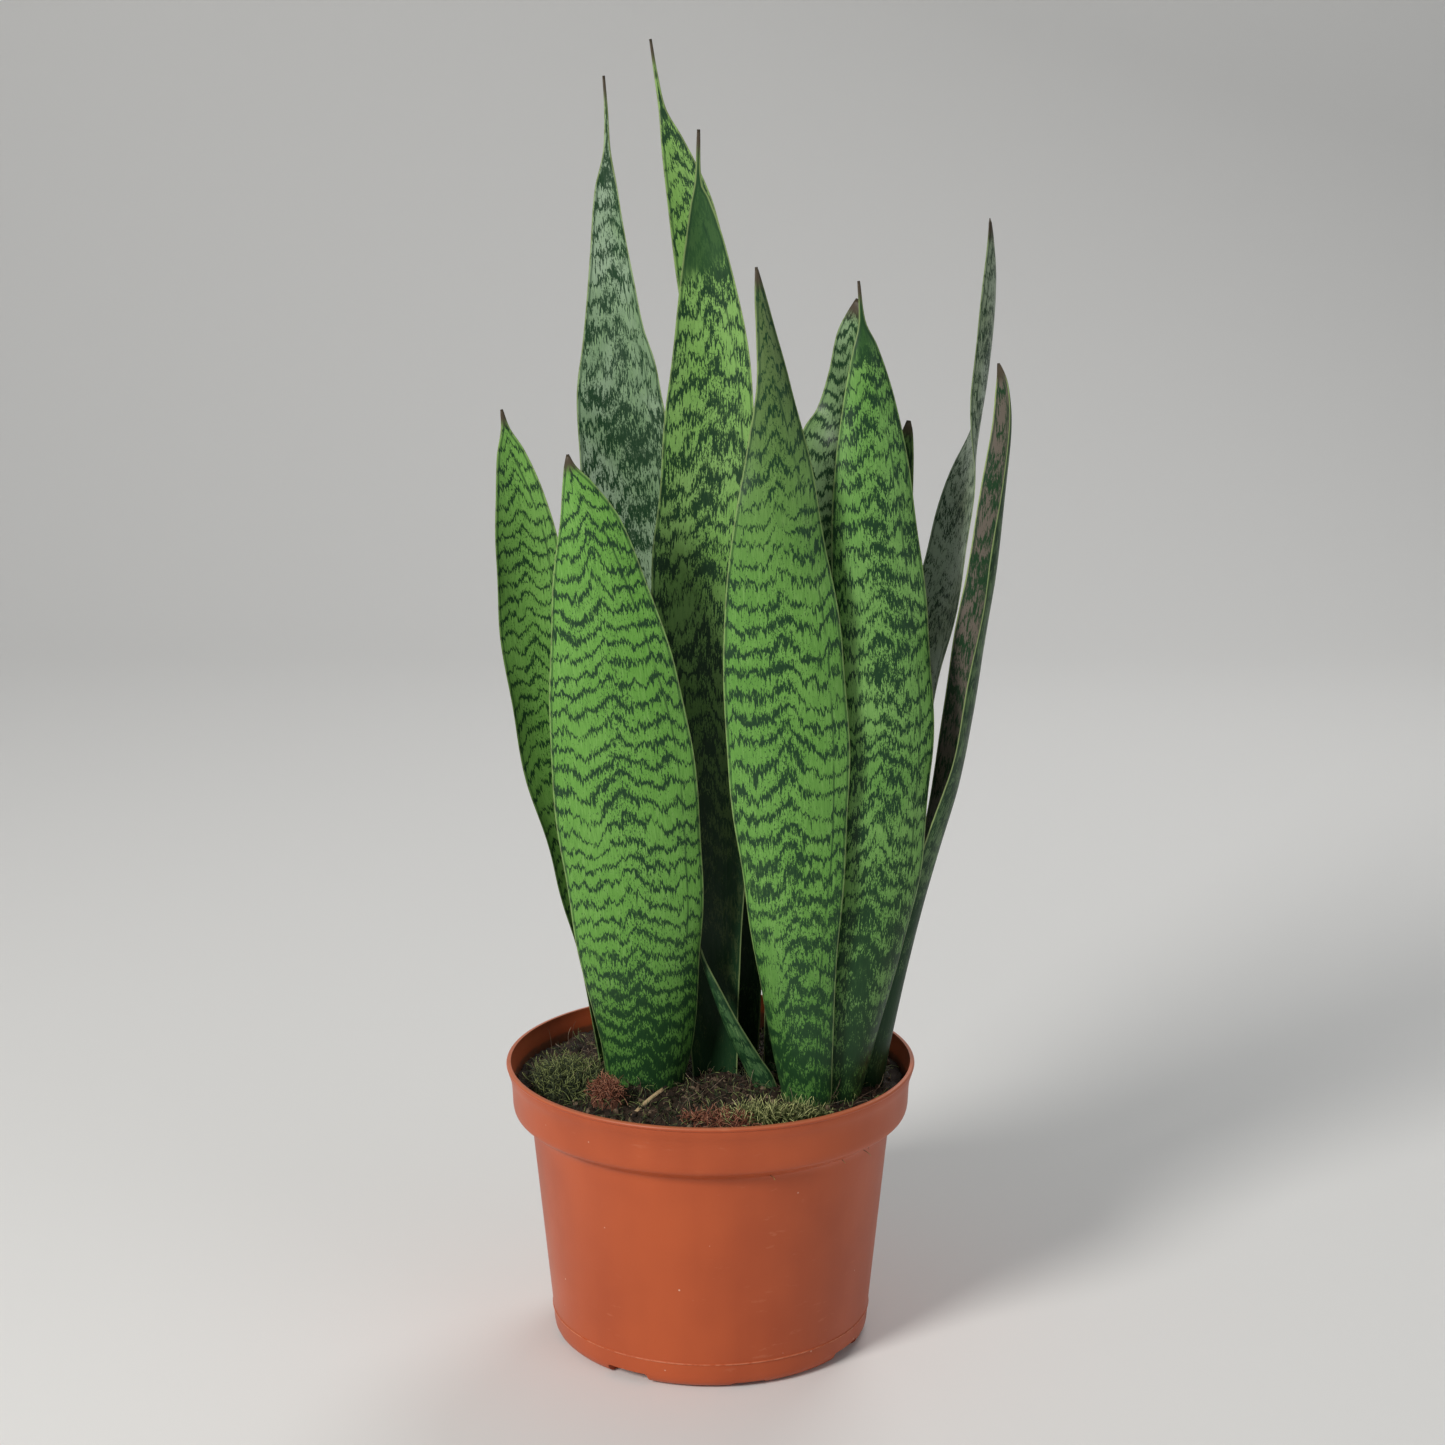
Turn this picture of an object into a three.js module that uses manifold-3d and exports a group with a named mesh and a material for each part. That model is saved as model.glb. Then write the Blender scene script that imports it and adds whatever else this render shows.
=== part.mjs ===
// Potted snake plant: a moulded nursery pot, its soil, twelve upright leaves, and the moss,
// peat and straw that lie on the soil. Millimetres, +Z up. The origin is on the pot's axis, on the
// flat underside. -Y is the front and +X is the right.
import * as THREE from 'three';
import { mergeVertices } from 'three/addons/utils/BufferGeometryUtils.js';
import Module from 'manifold-3d';

const wasm = await Module();
wasm.setup();

// ---- Pot ----
const potHeight = 133;
const lipRadius = 95;          // outside of the rolled lip
const wall = 1.5;              // moulded wall, floor and band alike
const bandHeight = 21.5;       // from the band's lower edge up to the top of the lip
const bandInset = 2.9;         // the band lies this far inside the lip's outer edge
const stepDepth = 8.6;         // from the band in to the body
const stepHeight = 8;
const footRadius = 74.2;       // body just above its rounded foot corner
const cornerRadius = 8;
const partingHeight = 12.7;    // raised line left by the mould
const partingRaise = 0.5;
const bandFlare = 0.5;         // the band widens by this much up to its bend
const bandBendDrop = 8.6;      // from the top of the lip down to that bend
const lipBead = 1;             // radius of the rolled lip
const lipNeck = 0.6;           // from the lip's roll down to the top of the band
const potSegments = 48;

// ---- Drain recesses, moulded into the foot corner ----
const wideRecess = { width: 21, height: 5, depth: 10, turn: -31 };
const narrowRecess = { width: 16, height: 2.6, depth: 8, turn: 14 };
const recessesOfEachKind = 4;
const drainWidth = 9;          // slot through the roof of each recess
const drainDepth = 3.5;

// ---- Soil ----
const soilDrop = 10;           // from the top of the lip down to the soil's general level
const wallDip = 2.5;           // the soil sinks beside the wall
const crumbHeight = 0.7;       // small unevenness
const fineCrumbShare = 0.6;    // the finer unevenness against the coarser
const fitGap = 0.3;            // between pieces that touch
const soilSegments = 40;
const soilRings = 7;

// Heaps and hollows of the soil: height, and place, width and depth as shares of its radius.
const frontMound = { height: 3, x: -0.1, y: -0.7, width: 0.6, depth: 0.3 };
const backHollow = { height: -7, x: 0.15, y: 0.85, width: 0.35, depth: 0.4 };

// ---- Leaves ----
const tallestTip = 472;        // highest leaf tip above the soil's general level
const clumpPotRadius = 95;     // lip radius that the rows and the cushions below were drawn for
const footThickness = 4.2;     // middle of a leaf at its foot; it thins towards the tip
const tipThickness = 1.1;
const marginThickness = 0.9;
const spansAcross = 6;
const pocketHeadroom = 4.2;    // a leaf's pocket in the soil ends this far above the front mound
const longestSpan = 44;        // a longer stretch between two rows gets one more section

// Each row is one cross-section, from the foot in the soil to the tip:
// [x, y, height above the soil, half width, facing, cup].
// facing is where the hollow side of the leaf looks, in degrees: 0 front, 90 right, 180 back.
// cup is half the arc that the section bends through, in degrees.
const leafRows = {
  leaf_front_left: [
    [-31, -19, -28, 13, 182, 75], [-30, -20, 0, 20.5, 182, 56], [-29, -23, 25, 24.5, 182, 45],
    [-31, -27, 55, 28, 181, 34], [-34, -30, 100, 32, 180, 26], [-39, -34, 155, 33, 178, 22],
    [-43, -36, 197, 28.8, 176, 20], [-48, -38, 233, 22.5, 174, 20], [-52, -40, 264, 14.8, 172, 22],
    [-57, -41, 282, 7.6, 171, 20], [-60, -42, 291, 3, 170, 10], [-61, -42, 297, 0.6, 170, 10],
  ],
  leaf_front_centre: [
    [38, -42, -28, 9, 140, 75], [40, -42, 0, 15, 146, 60], [39, -43, 22, 16.8, 154, 50],
    [38, -43, 52, 18.5, 164, 40], [37, -43, 90, 22, 172, 32], [36, -42, 130, 26, 178, 26],
    [34.5, -41, 168, 28, 181, 22], [33, -40, 200, 27.3, 183, 20], [31, -39, 235, 24.6, 184, 20],
    [30, -38, 268, 19.2, 185, 22], [29.5, -36, 298, 13.8, 187, 24], [28, -35, 325, 8, 192, 26],
    [24.5, -34, 348, 4.7, 196, 26], [22, -33, 363, 2.8, 198, 20], [20, -32, 376, 0.6, 198, 10],
  ],
  leaf_front_right: [
    [60, -34, -28, 9, 204, 75], [60.5, -35, 0, 14.5, 205, 60], [63.5, -34, 22, 17, 204, 50],
    [67.3, -32, 50, 19.5, 199, 42], [73, -29, 88, 22, 192, 34], [77, -27, 128, 23.2, 192, 28],
    [78.5, -26, 165, 23.3, 189, 26], [77.5, -25, 198, 22.8, 187, 24], [75, -23, 232, 21.6, 186, 24],
    [73, -21, 264, 19.6, 186, 24], [71.2, -19, 294, 16.2, 186, 26], [70, -17, 319, 11.6, 187, 26],
    [68, -16, 340, 5.8, 188, 22], [66.4, -15, 351, 1.7, 188, 12], [64.6, -15, 369, 0.6, 188, 10],
  ],
  leaf_centre: [
    [3, 4, -28, 9, 2, 75], [2, 3, 0, 12.5, 2, 64], [1, 3, 38, 14, 1, 54], [-1, 4, 105, 19, 0, 40],
    [-2.5, 5, 168, 23, 0, 32], [-3, 6, 210, 24.2, -2, 28], [-2.5, 7, 243, 24, -3, 26],
    [-1, 8, 270, 22.6, -4, 26], [0.3, 8, 302, 21.2, -5, 26], [0.8, 8, 328, 18.9, -5, 28],
    [-0.2, 8, 359, 14.2, -5, 30], [-1.8, 7, 382, 9.8, -5, 32], [-4, 6, 402, 4.6, -4, 30],
    [-5, 5, 410, 1.7, -3, 20], [-4.8, 4, 433, 0.7, 0, 10],
  ],
  leaf_tallest: [
    [11, 30, -28, 9, 20, 75], [11, 31, 0, 12.5, 18, 62], [11, 33, 70, 15, 12, 50],
    [9, 37, 160, 20, 5, 38], [7, 40, 240, 20.5, 0, 28], [4, 43, 300, 17.6, -4, 26],
    [1, 45, 345, 14.2, -6, 26], [-4, 46, 376, 12.6, -6, 28], [-8, 47, 396, 11.2, -6, 28],
    [-12.2, 48, 411, 8.8, -5, 28], [-17, 48, 427, 5.4, -4, 26], [-21.4, 49, 441, 1.8, -2, 16],
    [-24.4, 50, 457, 0.9, 0, 10], [-26.7, 50, 472, 0.6, 0, 10],
  ],
  leaf_back_left: [
    [-17, 34, -28, 9, 30, 75], [-17, 35, 0, 13, 26, 62], [-20, 38, 70, 16.5, 18, 50],
    [-26, 43, 150, 19.5, 10, 38], [-32, 46, 215, 21, 4, 28], [-37.5, 49, 265, 21.8, 0, 24],
    [-39.8, 50, 293, 21.6, -4, 24], [-41.2, 51, 310, 20.6, -8, 26], [-41.2, 52, 326, 19.2, -14, 28],
    [-42.4, 53, 341, 16.4, -22, 30], [-43.6, 53, 357, 13.6, -26, 32], [-45, 54, 379, 10.2, -26, 32],
    [-46.8, 55, 405, 6, -18, 28], [-46.8, 55, 422, 1.9, -10, 16], [-47, 55, 440, 0.9, 0, 10],
    [-48, 55, 456, 0.6, 0, 10],
  ],
  leaf_far_left: [
    [-46, 18, -28, 8, 42, 75], [-47, 19, 0, 12, 38, 62], [-52, 20, 50, 15, 30, 52],
    [-61, 20, 100, 16.6, 24, 44], [-71, 21, 138, 17, 22, 40], [-78, 21, 178, 17.2, 20, 36],
    [-82, 21, 215, 17, 18, 34], [-84, 20, 245, 15.8, 16, 32], [-86.5, 18, 270, 11.8, 14, 30],
    [-90, 17, 290, 6.8, 12, 26], [-92, 16, 301, 2.2, 10, 14], [-93.5, 15, 310, 0.6, 10, 10],
  ],
  leaf_behind_right: [
    [33, 10, -28, 9, 12, 75], [34, 9, 0, 12.5, 10, 62], [39, 6, 60, 15.5, 6, 50],
    [46, 4, 130, 18, 2, 38], [51, 2, 190, 18.8, 0, 30], [53, 2, 240, 18.4, -2, 28],
    [54.5, 3, 282, 18.2, -6, 28], [57, 4, 297, 17, -26, 30], [59.5, 5, 308, 15, -52, 34],
    [61.5, 5, 326, 11.6, -58, 34], [62.5, 5, 343, 8, -50, 28], [64, 5, 354, 3.4, -36, 18],
    [65, 5, 360, 0.6, -30, 10],
  ],
  leaf_hidden_tip: [
    [42, 38, -28, 8, -20, 75], [44, 38, 0, 11, -20, 62], [54, 36, 70, 13, -22, 48],
    [68, 32, 150, 14, -24, 38], [79, 28, 215, 11.6, -26, 30], [85, 26, 260, 8.6, -28, 28],
    [88, 25, 284, 5.6, -28, 26], [89.4, 24, 298, 3, -28, 20], [89.8, 24, 304, 1, -28, 10],
  ],
  leaf_right_ribbon: [
    [66, 11, -28, 8, -52, 75], [69, 11, 0, 11.5, -54, 62], [79, 14, 60, 14, -56, 50],
    [90, 18, 125, 16, -58, 40], [98, 21, 178, 17, -60, 32], [103.6, 22, 210, 17.6, -60, 28],
    [109.4, 23, 235, 17.4, -61, 26], [113.6, 24, 258, 16, -64, 26], [117.6, 25, 280, 14.4, -74, 26],
    [121, 26, 298, 14, -92, 26], [123.6, 27, 318, 14, -106, 24], [125.8, 28, 342, 13, -110, 22],
    [126.8, 28, 368, 9.4, -112, 20], [126, 28, 384, 4.6, -112, 16], [125, 28, 394, 0.7, -112, 10],
  ],
  leaf_right_channel: [
    [76, -8, -28, 7, -112, 75], [78, -9, 0, 10.5, -112, 66], [84.5, -8, 35, 12, -108, 60],
    [94, -3, 75, 13, -102, 58], [104, 0, 112, 15.5, -94, 56], [112, -5, 145, 17.4, -86, 54],
    [117, -9, 178, 18, -80, 54], [121, -12, 210, 17, -77, 54], [126, -11, 245, 15, -74, 54],
    [129, -11, 280, 11.6, -70, 52], [131, -10, 306, 8.6, -66, 48], [129.5, -10, 323, 5, -60, 40],
    [126.5, -10, 333, 1, -60, 10],
  ],
  leaf_young: [
    [27, -21, -24, 5, 140, 75], [24, -20, 0, 7.6, 140, 62], [17.5, -18, 13, 6.6, 140, 56],
    [9.5, -16, 29, 4.8, 142, 50], [2, -14, 47, 2.8, 146, 40], [-3, -13, 60, 1.3, 148, 24],
    [-5, -12.5, 68, 0.5, 148, 10],
  ],
};

const leafColours = {
  leaf_front_left: 0x5f9a3c,
  leaf_front_centre: 0x5a9038,
  leaf_front_right: 0x6f9a50,
  leaf_centre: 0x6f9a40,
  leaf_tallest: 0x6a9a40,
  leaf_back_left: 0x7f9a78,
  leaf_far_left: 0x64a044,
  leaf_behind_right: 0x7a9a60,
  leaf_hidden_tip: 0x5a7a40,
  leaf_right_ribbon: 0x94a38a,
  leaf_right_channel: 0x6a6a5c,
  leaf_young: 0x3f6a3a,
};
const potColour = 0xb5572f;
const soilColour = 0x2e2118;
const mossColour = 0x4f5a2c;
const peatColour = 0x6e3a24;
const strawColour = 0xb59a68;

// ---- Solids ----

// A closed three.js geometry as a solid that can be cut and joined.
function toSolid(geometry) {
  const bare = geometry.clone();
  bare.deleteAttribute('normal');
  bare.deleteAttribute('uv');
  const merged = mergeVertices(bare, 1e-4);
  const mesh = new wasm.Mesh({
    numProp: 3,
    vertProperties: new Float32Array(merged.attributes.position.array),
    triVerts: new Uint32Array(merged.index.array),
  });
  return new wasm.Manifold(mesh);
}

function toGeometry(solid) {
  const mesh = solid.getMesh();
  const geometry = new THREE.BufferGeometry();
  geometry.setAttribute('position', new THREE.BufferAttribute(new Float32Array(mesh.vertProperties), 3));
  geometry.setIndex(new THREE.BufferAttribute(new Uint32Array(mesh.triVerts), 1));
  return geometry;
}

// Skins a list of rings of points, all of one even length. Each end is closed by a strip that joins
// the ring's first half to its second half, so a hollow section stays hollow.
function loft(rings) {
  const count = rings[0].length;
  const points = rings.flat();
  const triangles = [];
  for (let ring = 0; ring + 1 < rings.length; ring += 1) {
    for (let side = 0; side < count; side += 1) {
      const a = ring * count + side;
      const b = ring * count + ((side + 1) % count);
      triangles.push(a, b, b + count, a, b + count, a + count);
    }
  }
  const closeEnd = (ring, reversed) => {
    const first = ring * count;
    for (let side = 0; side < count / 2 - 1; side += 1) {
      const corners = [first + side, first + side + 1, first + count - 2 - side, first + count - 1 - side];
      const [a, b, c, d] = reversed ? corners.reverse() : corners;
      triangles.push(a, b, c, a, c, d);
    }
  };
  closeEnd(0, true);
  closeEnd(rings.length - 1, false);
  const geometry = new THREE.BufferGeometry().setFromPoints(points);
  geometry.setIndex(triangles);
  return geometry;
}

// ---- Pot ----

// Points of a quarter round from one angle to another, in the plane of a profile.
function arc(centreRadius, centreHeight, radius, fromDegrees, toDegrees, steps) {
  const points = [];
  for (let step = 0; step <= steps; step += 1) {
    const angle = THREE.MathUtils.degToRad(fromDegrees + ((toDegrees - fromDegrees) * step) / steps);
    points.push([centreRadius + radius * Math.cos(angle), centreHeight + radius * Math.sin(angle)]);
  }
  return points;
}

const bandRadius = lipRadius - bandInset;
const bodyTopRadius = bandRadius - stepDepth;
const bandBottom = potHeight - bandHeight;
const bodyTop = bandBottom - stepHeight;
const soilLevel = potHeight - soilDrop;

// The bend of the step, as shares of its depth and its height.
const stepBend = [[0.12, 0.35], [0.8, 0.75], [1, 1]];

// The wall's outline from the flat underside up to the band, moved in by some distance.
function wallOutline(inset) {
  const corner = cornerRadius - inset;
  const slope = (bodyTopRadius - footRadius) / (bodyTop - cornerRadius);
  const bodyRadius = (height) => footRadius + slope * (height - cornerRadius) - inset;
  const outline = arc(footRadius - cornerRadius, cornerRadius, corner, -90, 0, 4);
  if (inset === 0) {
    outline.push([bodyRadius(partingHeight - partingRaise), partingHeight - partingRaise]);
    outline.push([bodyRadius(partingHeight) + partingRaise, partingHeight]);
    outline.push([bodyRadius(partingHeight + partingRaise), partingHeight + partingRaise]);
  }
  outline.push([bodyRadius(bodyTop), bodyTop]);
  for (const [out, up] of stepBend) {
    outline.push([bodyTopRadius + out * stepDepth - inset, bodyTop + up * stepHeight]);
  }
  return outline;
}

function lathe(outline, segments) {
  const points = outline.map(([radius, height]) => new THREE.Vector2(radius, height));
  return new THREE.LatheGeometry(points, segments).rotateX(Math.PI / 2);
}

const lipRoot = potHeight - 2 * lipBead;
const bandTop = [bandRadius + bandFlare, potHeight - bandBendDrop];

function potOutside() {
  const outline = [[0, 0], ...wallOutline(0), bandTop, [lipRadius - lipBead, lipRoot - lipNeck]];
  outline.push(...arc(lipRadius - lipBead, potHeight - lipBead, lipBead, -60, 90, 4));
  outline.push([0, potHeight]);
  return toSolid(lathe(outline, potSegments));
}

// The hollow of the pot, moved in from its walls by a gap, up to any height.
function potHollow(gap, top) {
  const inset = wall + gap;
  const throat = lipRadius - lipBead - inset;
  const outline = [[0, inset], ...wallOutline(inset)];
  outline.push([bandTop[0] - inset, bandTop[1]]);
  outline.push([throat, potHeight - lipBead], [throat, top], [0, top]);
  return toSolid(lathe(outline, potSegments));
}

// A block at the foot corner, made larger on its roof, sides and inner end by some distance.
function recessBlock(recess, index, grow) {
  const inner = footRadius - recess.depth - grow;
  const outer = footRadius + cornerRadius;
  const bottom = -cornerRadius;
  const top = recess.height + grow;
  const block = new THREE.BoxGeometry(outer - inner, recess.width + 2 * grow, top - bottom);
  block.translate((outer + inner) / 2, 0, (top + bottom) / 2);
  block.rotateZ(recessAngle(recess, index));
  return toSolid(block);
}

// The slot that lets water out through the roof of a recess.
function drainSlot(recess, index) {
  const slotRadius = footRadius - recess.depth + wall + drainDepth / 2;
  const slot = new THREE.BoxGeometry(drainDepth, drainWidth, 2 * cornerRadius);
  slot.translate(slotRadius, 0, cornerRadius);
  slot.rotateZ(recessAngle(recess, index));
  return toSolid(slot);
}

function recessAngle(recess, index) {
  const fromFront = recess.turn + (360 / recessesOfEachKind) * index;
  return THREE.MathUtils.degToRad(fromFront - 90);
}

function forEachRecess(visit) {
  for (const recess of [wideRecess, narrowRecess]) {
    for (let index = 0; index < recessesOfEachKind; index += 1) {
      visit(recess, index);
    }
  }
}

function buildPot() {
  let outside = potOutside();
  let hollow = potHollow(0, potHeight + lipBead);
  forEachRecess((recess, index) => {
    outside = outside.subtract(recessBlock(recess, index, 0));
    hollow = hollow.subtract(recessBlock(recess, index, wall));
  });
  let pot = outside.subtract(hollow);
  forEachRecess((recess, index) => {
    pot = pot.subtract(drainSlot(recess, index));
  });
  return pot;
}

// ---- Leaves ----

// A smooth curve through numbers that stand at growing distances, and its value at one distance.
function smoothValue(distances, values, distance) {
  const last = distances.length - 1;
  let span = 0;
  while (span < last - 1 && distance > distances[span + 1]) {
    span += 1;
  }
  const slopeAt = (index) => {
    const before = Math.max(index - 1, 0);
    const after = Math.min(index + 1, last);
    return (values[after] - values[before]) / (distances[after] - distances[before]);
  };
  const length = distances[span + 1] - distances[span];
  const t = (distance - distances[span]) / length;
  const t2 = t * t;
  const t3 = t2 * t;
  return (2 * t3 - 3 * t2 + 1) * values[span] + (t3 - 2 * t2 + t) * length * slopeAt(span)
    + (3 * t2 - 2 * t3) * values[span + 1] + (t3 - t2) * length * slopeAt(span + 1);
}

const sideScale = lipRadius / clumpPotRadius;
const tallestRow = Math.max(...Object.values(leafRows).flat().map((row) => row[2]));
const riseScale = tallestTip / tallestRow;

// Sections along a leaf: place, direction, half width, facing, cup and the share of its length.
function leafSections(rows) {
  const places = rows.map(([x, y, height]) => (
    new THREE.Vector3(x * sideScale, y * sideScale, soilLevel + (height > 0 ? height * riseScale : height))));
  const distances = [0];
  for (let row = 1; row < rows.length; row += 1) {
    distances.push(distances[row - 1] + places[row].distanceTo(places[row - 1]));
  }
  const total = distances[rows.length - 1];
  const stops = [0];
  for (let row = 1; row < rows.length; row += 1) {
    if (distances[row] - distances[row - 1] > longestSpan) {
      stops.push((distances[row] + distances[row - 1]) / 2);
    }
    stops.push(distances[row]);
  }
  const column = (pick) => rows.map(pick);
  const placeAt = (distance) => new THREE.Vector3(
    smoothValue(distances, places.map((place) => place.x), distance),
    smoothValue(distances, places.map((place) => place.y), distance),
    smoothValue(distances, places.map((place) => place.z), distance),
  );
  const nudge = 0.5;
  return stops.map((stop) => ({
    place: placeAt(stop),
    direction: placeAt(Math.min(stop + nudge, total)).sub(placeAt(Math.max(stop - nudge, 0))).normalize(),
    halfWidth: sideScale * smoothValue(distances, column((row) => row[3]), stop),
    facing: THREE.MathUtils.degToRad(smoothValue(distances, column((row) => row[4]), stop)),
    cup: THREE.MathUtils.degToRad(smoothValue(distances, column((row) => row[5]), stop)),
    share: stop / total,
  }));
}

// One closed ring of points round a leaf section, pushed out by a gap.
function leafRing(section, gap) {
  const look = new THREE.Vector3(Math.sin(section.facing), -Math.cos(section.facing), 0);
  const normal = look.addScaledVector(section.direction, -look.dot(section.direction)).normalize();
  const side = new THREE.Vector3().crossVectors(section.direction, normal);
  const bend = section.halfWidth / section.cup;
  const middle = THREE.MathUtils.lerp(footThickness, tipThickness, section.share);
  const edge = Math.min(marginThickness, middle);
  const pointAt = (across, face) => {
    const angle = section.cup * across;
    const outward = new THREE.Vector3()
      .addScaledVector(normal, Math.cos(angle))
      .addScaledVector(side, -Math.sin(angle));
    const along = new THREE.Vector3()
      .addScaledVector(side, Math.cos(angle))
      .addScaledVector(normal, Math.sin(angle));
    const thickness = edge + (middle - edge) * Math.sqrt(1 - across * across);
    return section.place.clone()
      .addScaledVector(side, bend * Math.sin(angle))
      .addScaledVector(normal, bend * (1 - Math.cos(angle)))
      .addScaledVector(outward, face * (thickness / 2 + gap))
      .addScaledVector(along, Math.sign(across) * (Math.abs(across) === 1 ? gap : 0));
  };
  const ring = [];
  for (const face of [1, -1]) {
    for (let span = 0; span <= spansAcross; span += 1) {
      ring.push(pointAt(face * ((2 * span) / spansAcross - 1), face));
    }
  }
  return ring;
}

function leafSolid(rows) {
  return toSolid(loft(leafSections(rows).map((section) => leafRing(section, 0))));
}

// The same leaf, a gap larger all round and up to just above the soil, to cut its pocket with.
function leafPocket(rows, gap) {
  const highestSoil = soilLevel + frontMound.height + pocketHeadroom;
  const sections = leafSections(rows);
  const firstClear = sections.findIndex((section) => section.place.z > highestSoil);
  const low = sections.slice(0, firstClear + 1);
  low[0].place.addScaledVector(low[0].direction, -gap);
  return toSolid(loft(low.map((section) => leafRing(section, gap))));
}

// ---- Soil and what lies on it ----

// A round heap, or a hollow when its height is negative.
function heap({ height, x, y, width, depth }, atX, atY) {
  return height * Math.exp(-(((atX - x) / width) ** 2) - ((atY - y) / depth) ** 2);
}

// Height of the soil at a place given as shares of the soil's radius.
function soilTop(x, y) {
  const heaps = heap(frontMound, x, y) + heap(backHollow, x, y);
  const dip = wallDip * THREE.MathUtils.smoothstep(Math.hypot(x, y), 0.7, 1);
  const coarse = Math.sin(9 * x + 2) * Math.sin(8 * y + 1);
  const fine = Math.sin(17 * x - 11 * y);
  return soilLevel + heaps - dip + crumbHeight * (coarse + fineCrumbShare * fine);
}

// A block of earth under the uneven soil surface, wider than the pot.
function earthBlock() {
  const reach = lipRadius - wall;
  const rings = [];
  for (let ring = soilRings; ring >= 1; ring -= 1) {
    const share = ring / soilRings;
    const points = [];
    for (let segment = 0; segment < soilSegments; segment += 1) {
      const angle = (2 * Math.PI * segment) / soilSegments;
      const x = share * Math.cos(angle);
      const y = share * Math.sin(angle);
      points.push(new THREE.Vector3(x * reach, y * reach, soilTop(x, y)));
    }
    rings.push(points);
  }
  const foot = rings[0].map((point) => new THREE.Vector3(point.x, point.y, -wall));
  return toSolid(loft([foot, ...rings]));
}

// A low cushion set into the soil: an ellipsoid at a place given as shares of the soil's radius.
function cushion(place, size, gap) {
  const ball = new THREE.SphereGeometry(1, 18, 10);
  ball.rotateX(Math.PI / 2);
  ball.scale(size.x * sideScale + gap, size.y * sideScale + gap, size.z + gap);
  ball.rotateZ(THREE.MathUtils.degToRad(place.turn));
  const middle = groundPoint(place.x, place.y, place.rise);
  ball.translate(middle.x, middle.y, middle.z);
  return toSolid(ball);
}

const cushions = {
  moss_left: {
    colour: mossColour,
    place: { x: -0.69, y: -0.12, turn: 12, rise: -2 },
    size: { x: 17, y: 24, z: 6 },
  },
  moss_front: {
    colour: mossColour,
    place: { x: 0.3, y: -0.7, turn: 8, rise: -2 },
    size: { x: 25, y: 10, z: 5.5 },
  },
  peat_clump: {
    colour: peatColour,
    place: { x: -0.5, y: -0.45, turn: 20, rise: 1 },
    size: { x: 7, y: 11, z: 8 },
  },
};

// The splinter of straw that sticks out of the soil at the front. Places are shares of the
// soil's radius, with the height above the soil there.
const strawFoot = groundPoint(-0.41, -0.65, -2);
const strawHead = groundPoint(-0.22, -0.42, 8);
const strawWidth = 2.6;
const strawSides = 6;

function groundPoint(x, y, rise) {
  const reach = lipRadius - wall;
  return new THREE.Vector3(x * reach, y * reach, soilTop(x, y) + rise);
}

function strawSolid(gap) {
  const length = strawFoot.distanceTo(strawHead) + 2 * gap;
  const rod = new THREE.CylinderGeometry(strawWidth / 2 + gap, strawWidth / 3 + gap, length, strawSides);
  const up = new THREE.Vector3(0, 1, 0);
  const along = strawHead.clone().sub(strawFoot).normalize();
  rod.applyQuaternion(new THREE.Quaternion().setFromUnitVectors(up, along));
  const middle = strawFoot.clone().add(strawHead).multiplyScalar(0.5);
  rod.translate(middle.x, middle.y, middle.z);
  return toSolid(rod);
}

function buildGround() {
  const throat = potHollow(fitGap, potHeight);
  let soil = earthBlock().intersect(throat);
  forEachRecess((recess, index) => {
    soil = soil.subtract(recessBlock(recess, index, wall + fitGap));
  });
  const pieces = {};
  const pockets = Object.values(leafRows).map((rows) => leafPocket(rows, fitGap));
  for (const [name, { place, size }] of Object.entries(cushions)) {
    let piece = cushion(place, size, 0).intersect(throat);
    for (const pocket of pockets) {
      piece = piece.subtract(pocket);
    }
    for (const other of Object.keys(pieces)) {
      piece = piece.subtract(cushion(cushions[other].place, cushions[other].size, fitGap));
    }
    soil = soil.subtract(cushion(place, size, fitGap));
    pieces[name] = piece;
  }
  for (const pocket of pockets) {
    soil = soil.subtract(pocket);
  }
  soil = soil.subtract(strawSolid(fitGap));
  return { soil, ...pieces };
}

// ---- The plant ----

const plant = new THREE.Group();

function addPiece(name, solid, colour, roughness) {
  const material = new THREE.MeshStandardMaterial({ color: colour, roughness, metalness: 0 });
  const mesh = new THREE.Mesh(toGeometry(solid), material);
  mesh.name = name;
  plant.add(mesh);
}

addPiece('pot', buildPot(), potColour, 0.45);
const ground = buildGround();
addPiece('soil', ground.soil, soilColour, 0.95);
for (const [name, { colour }] of Object.entries(cushions)) {
  addPiece(name, ground[name], colour, 0.95);
}
addPiece('straw', strawSolid(0), strawColour, 0.8);
for (const [name, rows] of Object.entries(leafRows)) {
  addPiece(name, leafSolid(rows), leafColours[name], 0.4);
}

export default plant;
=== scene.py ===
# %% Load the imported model
import math

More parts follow.
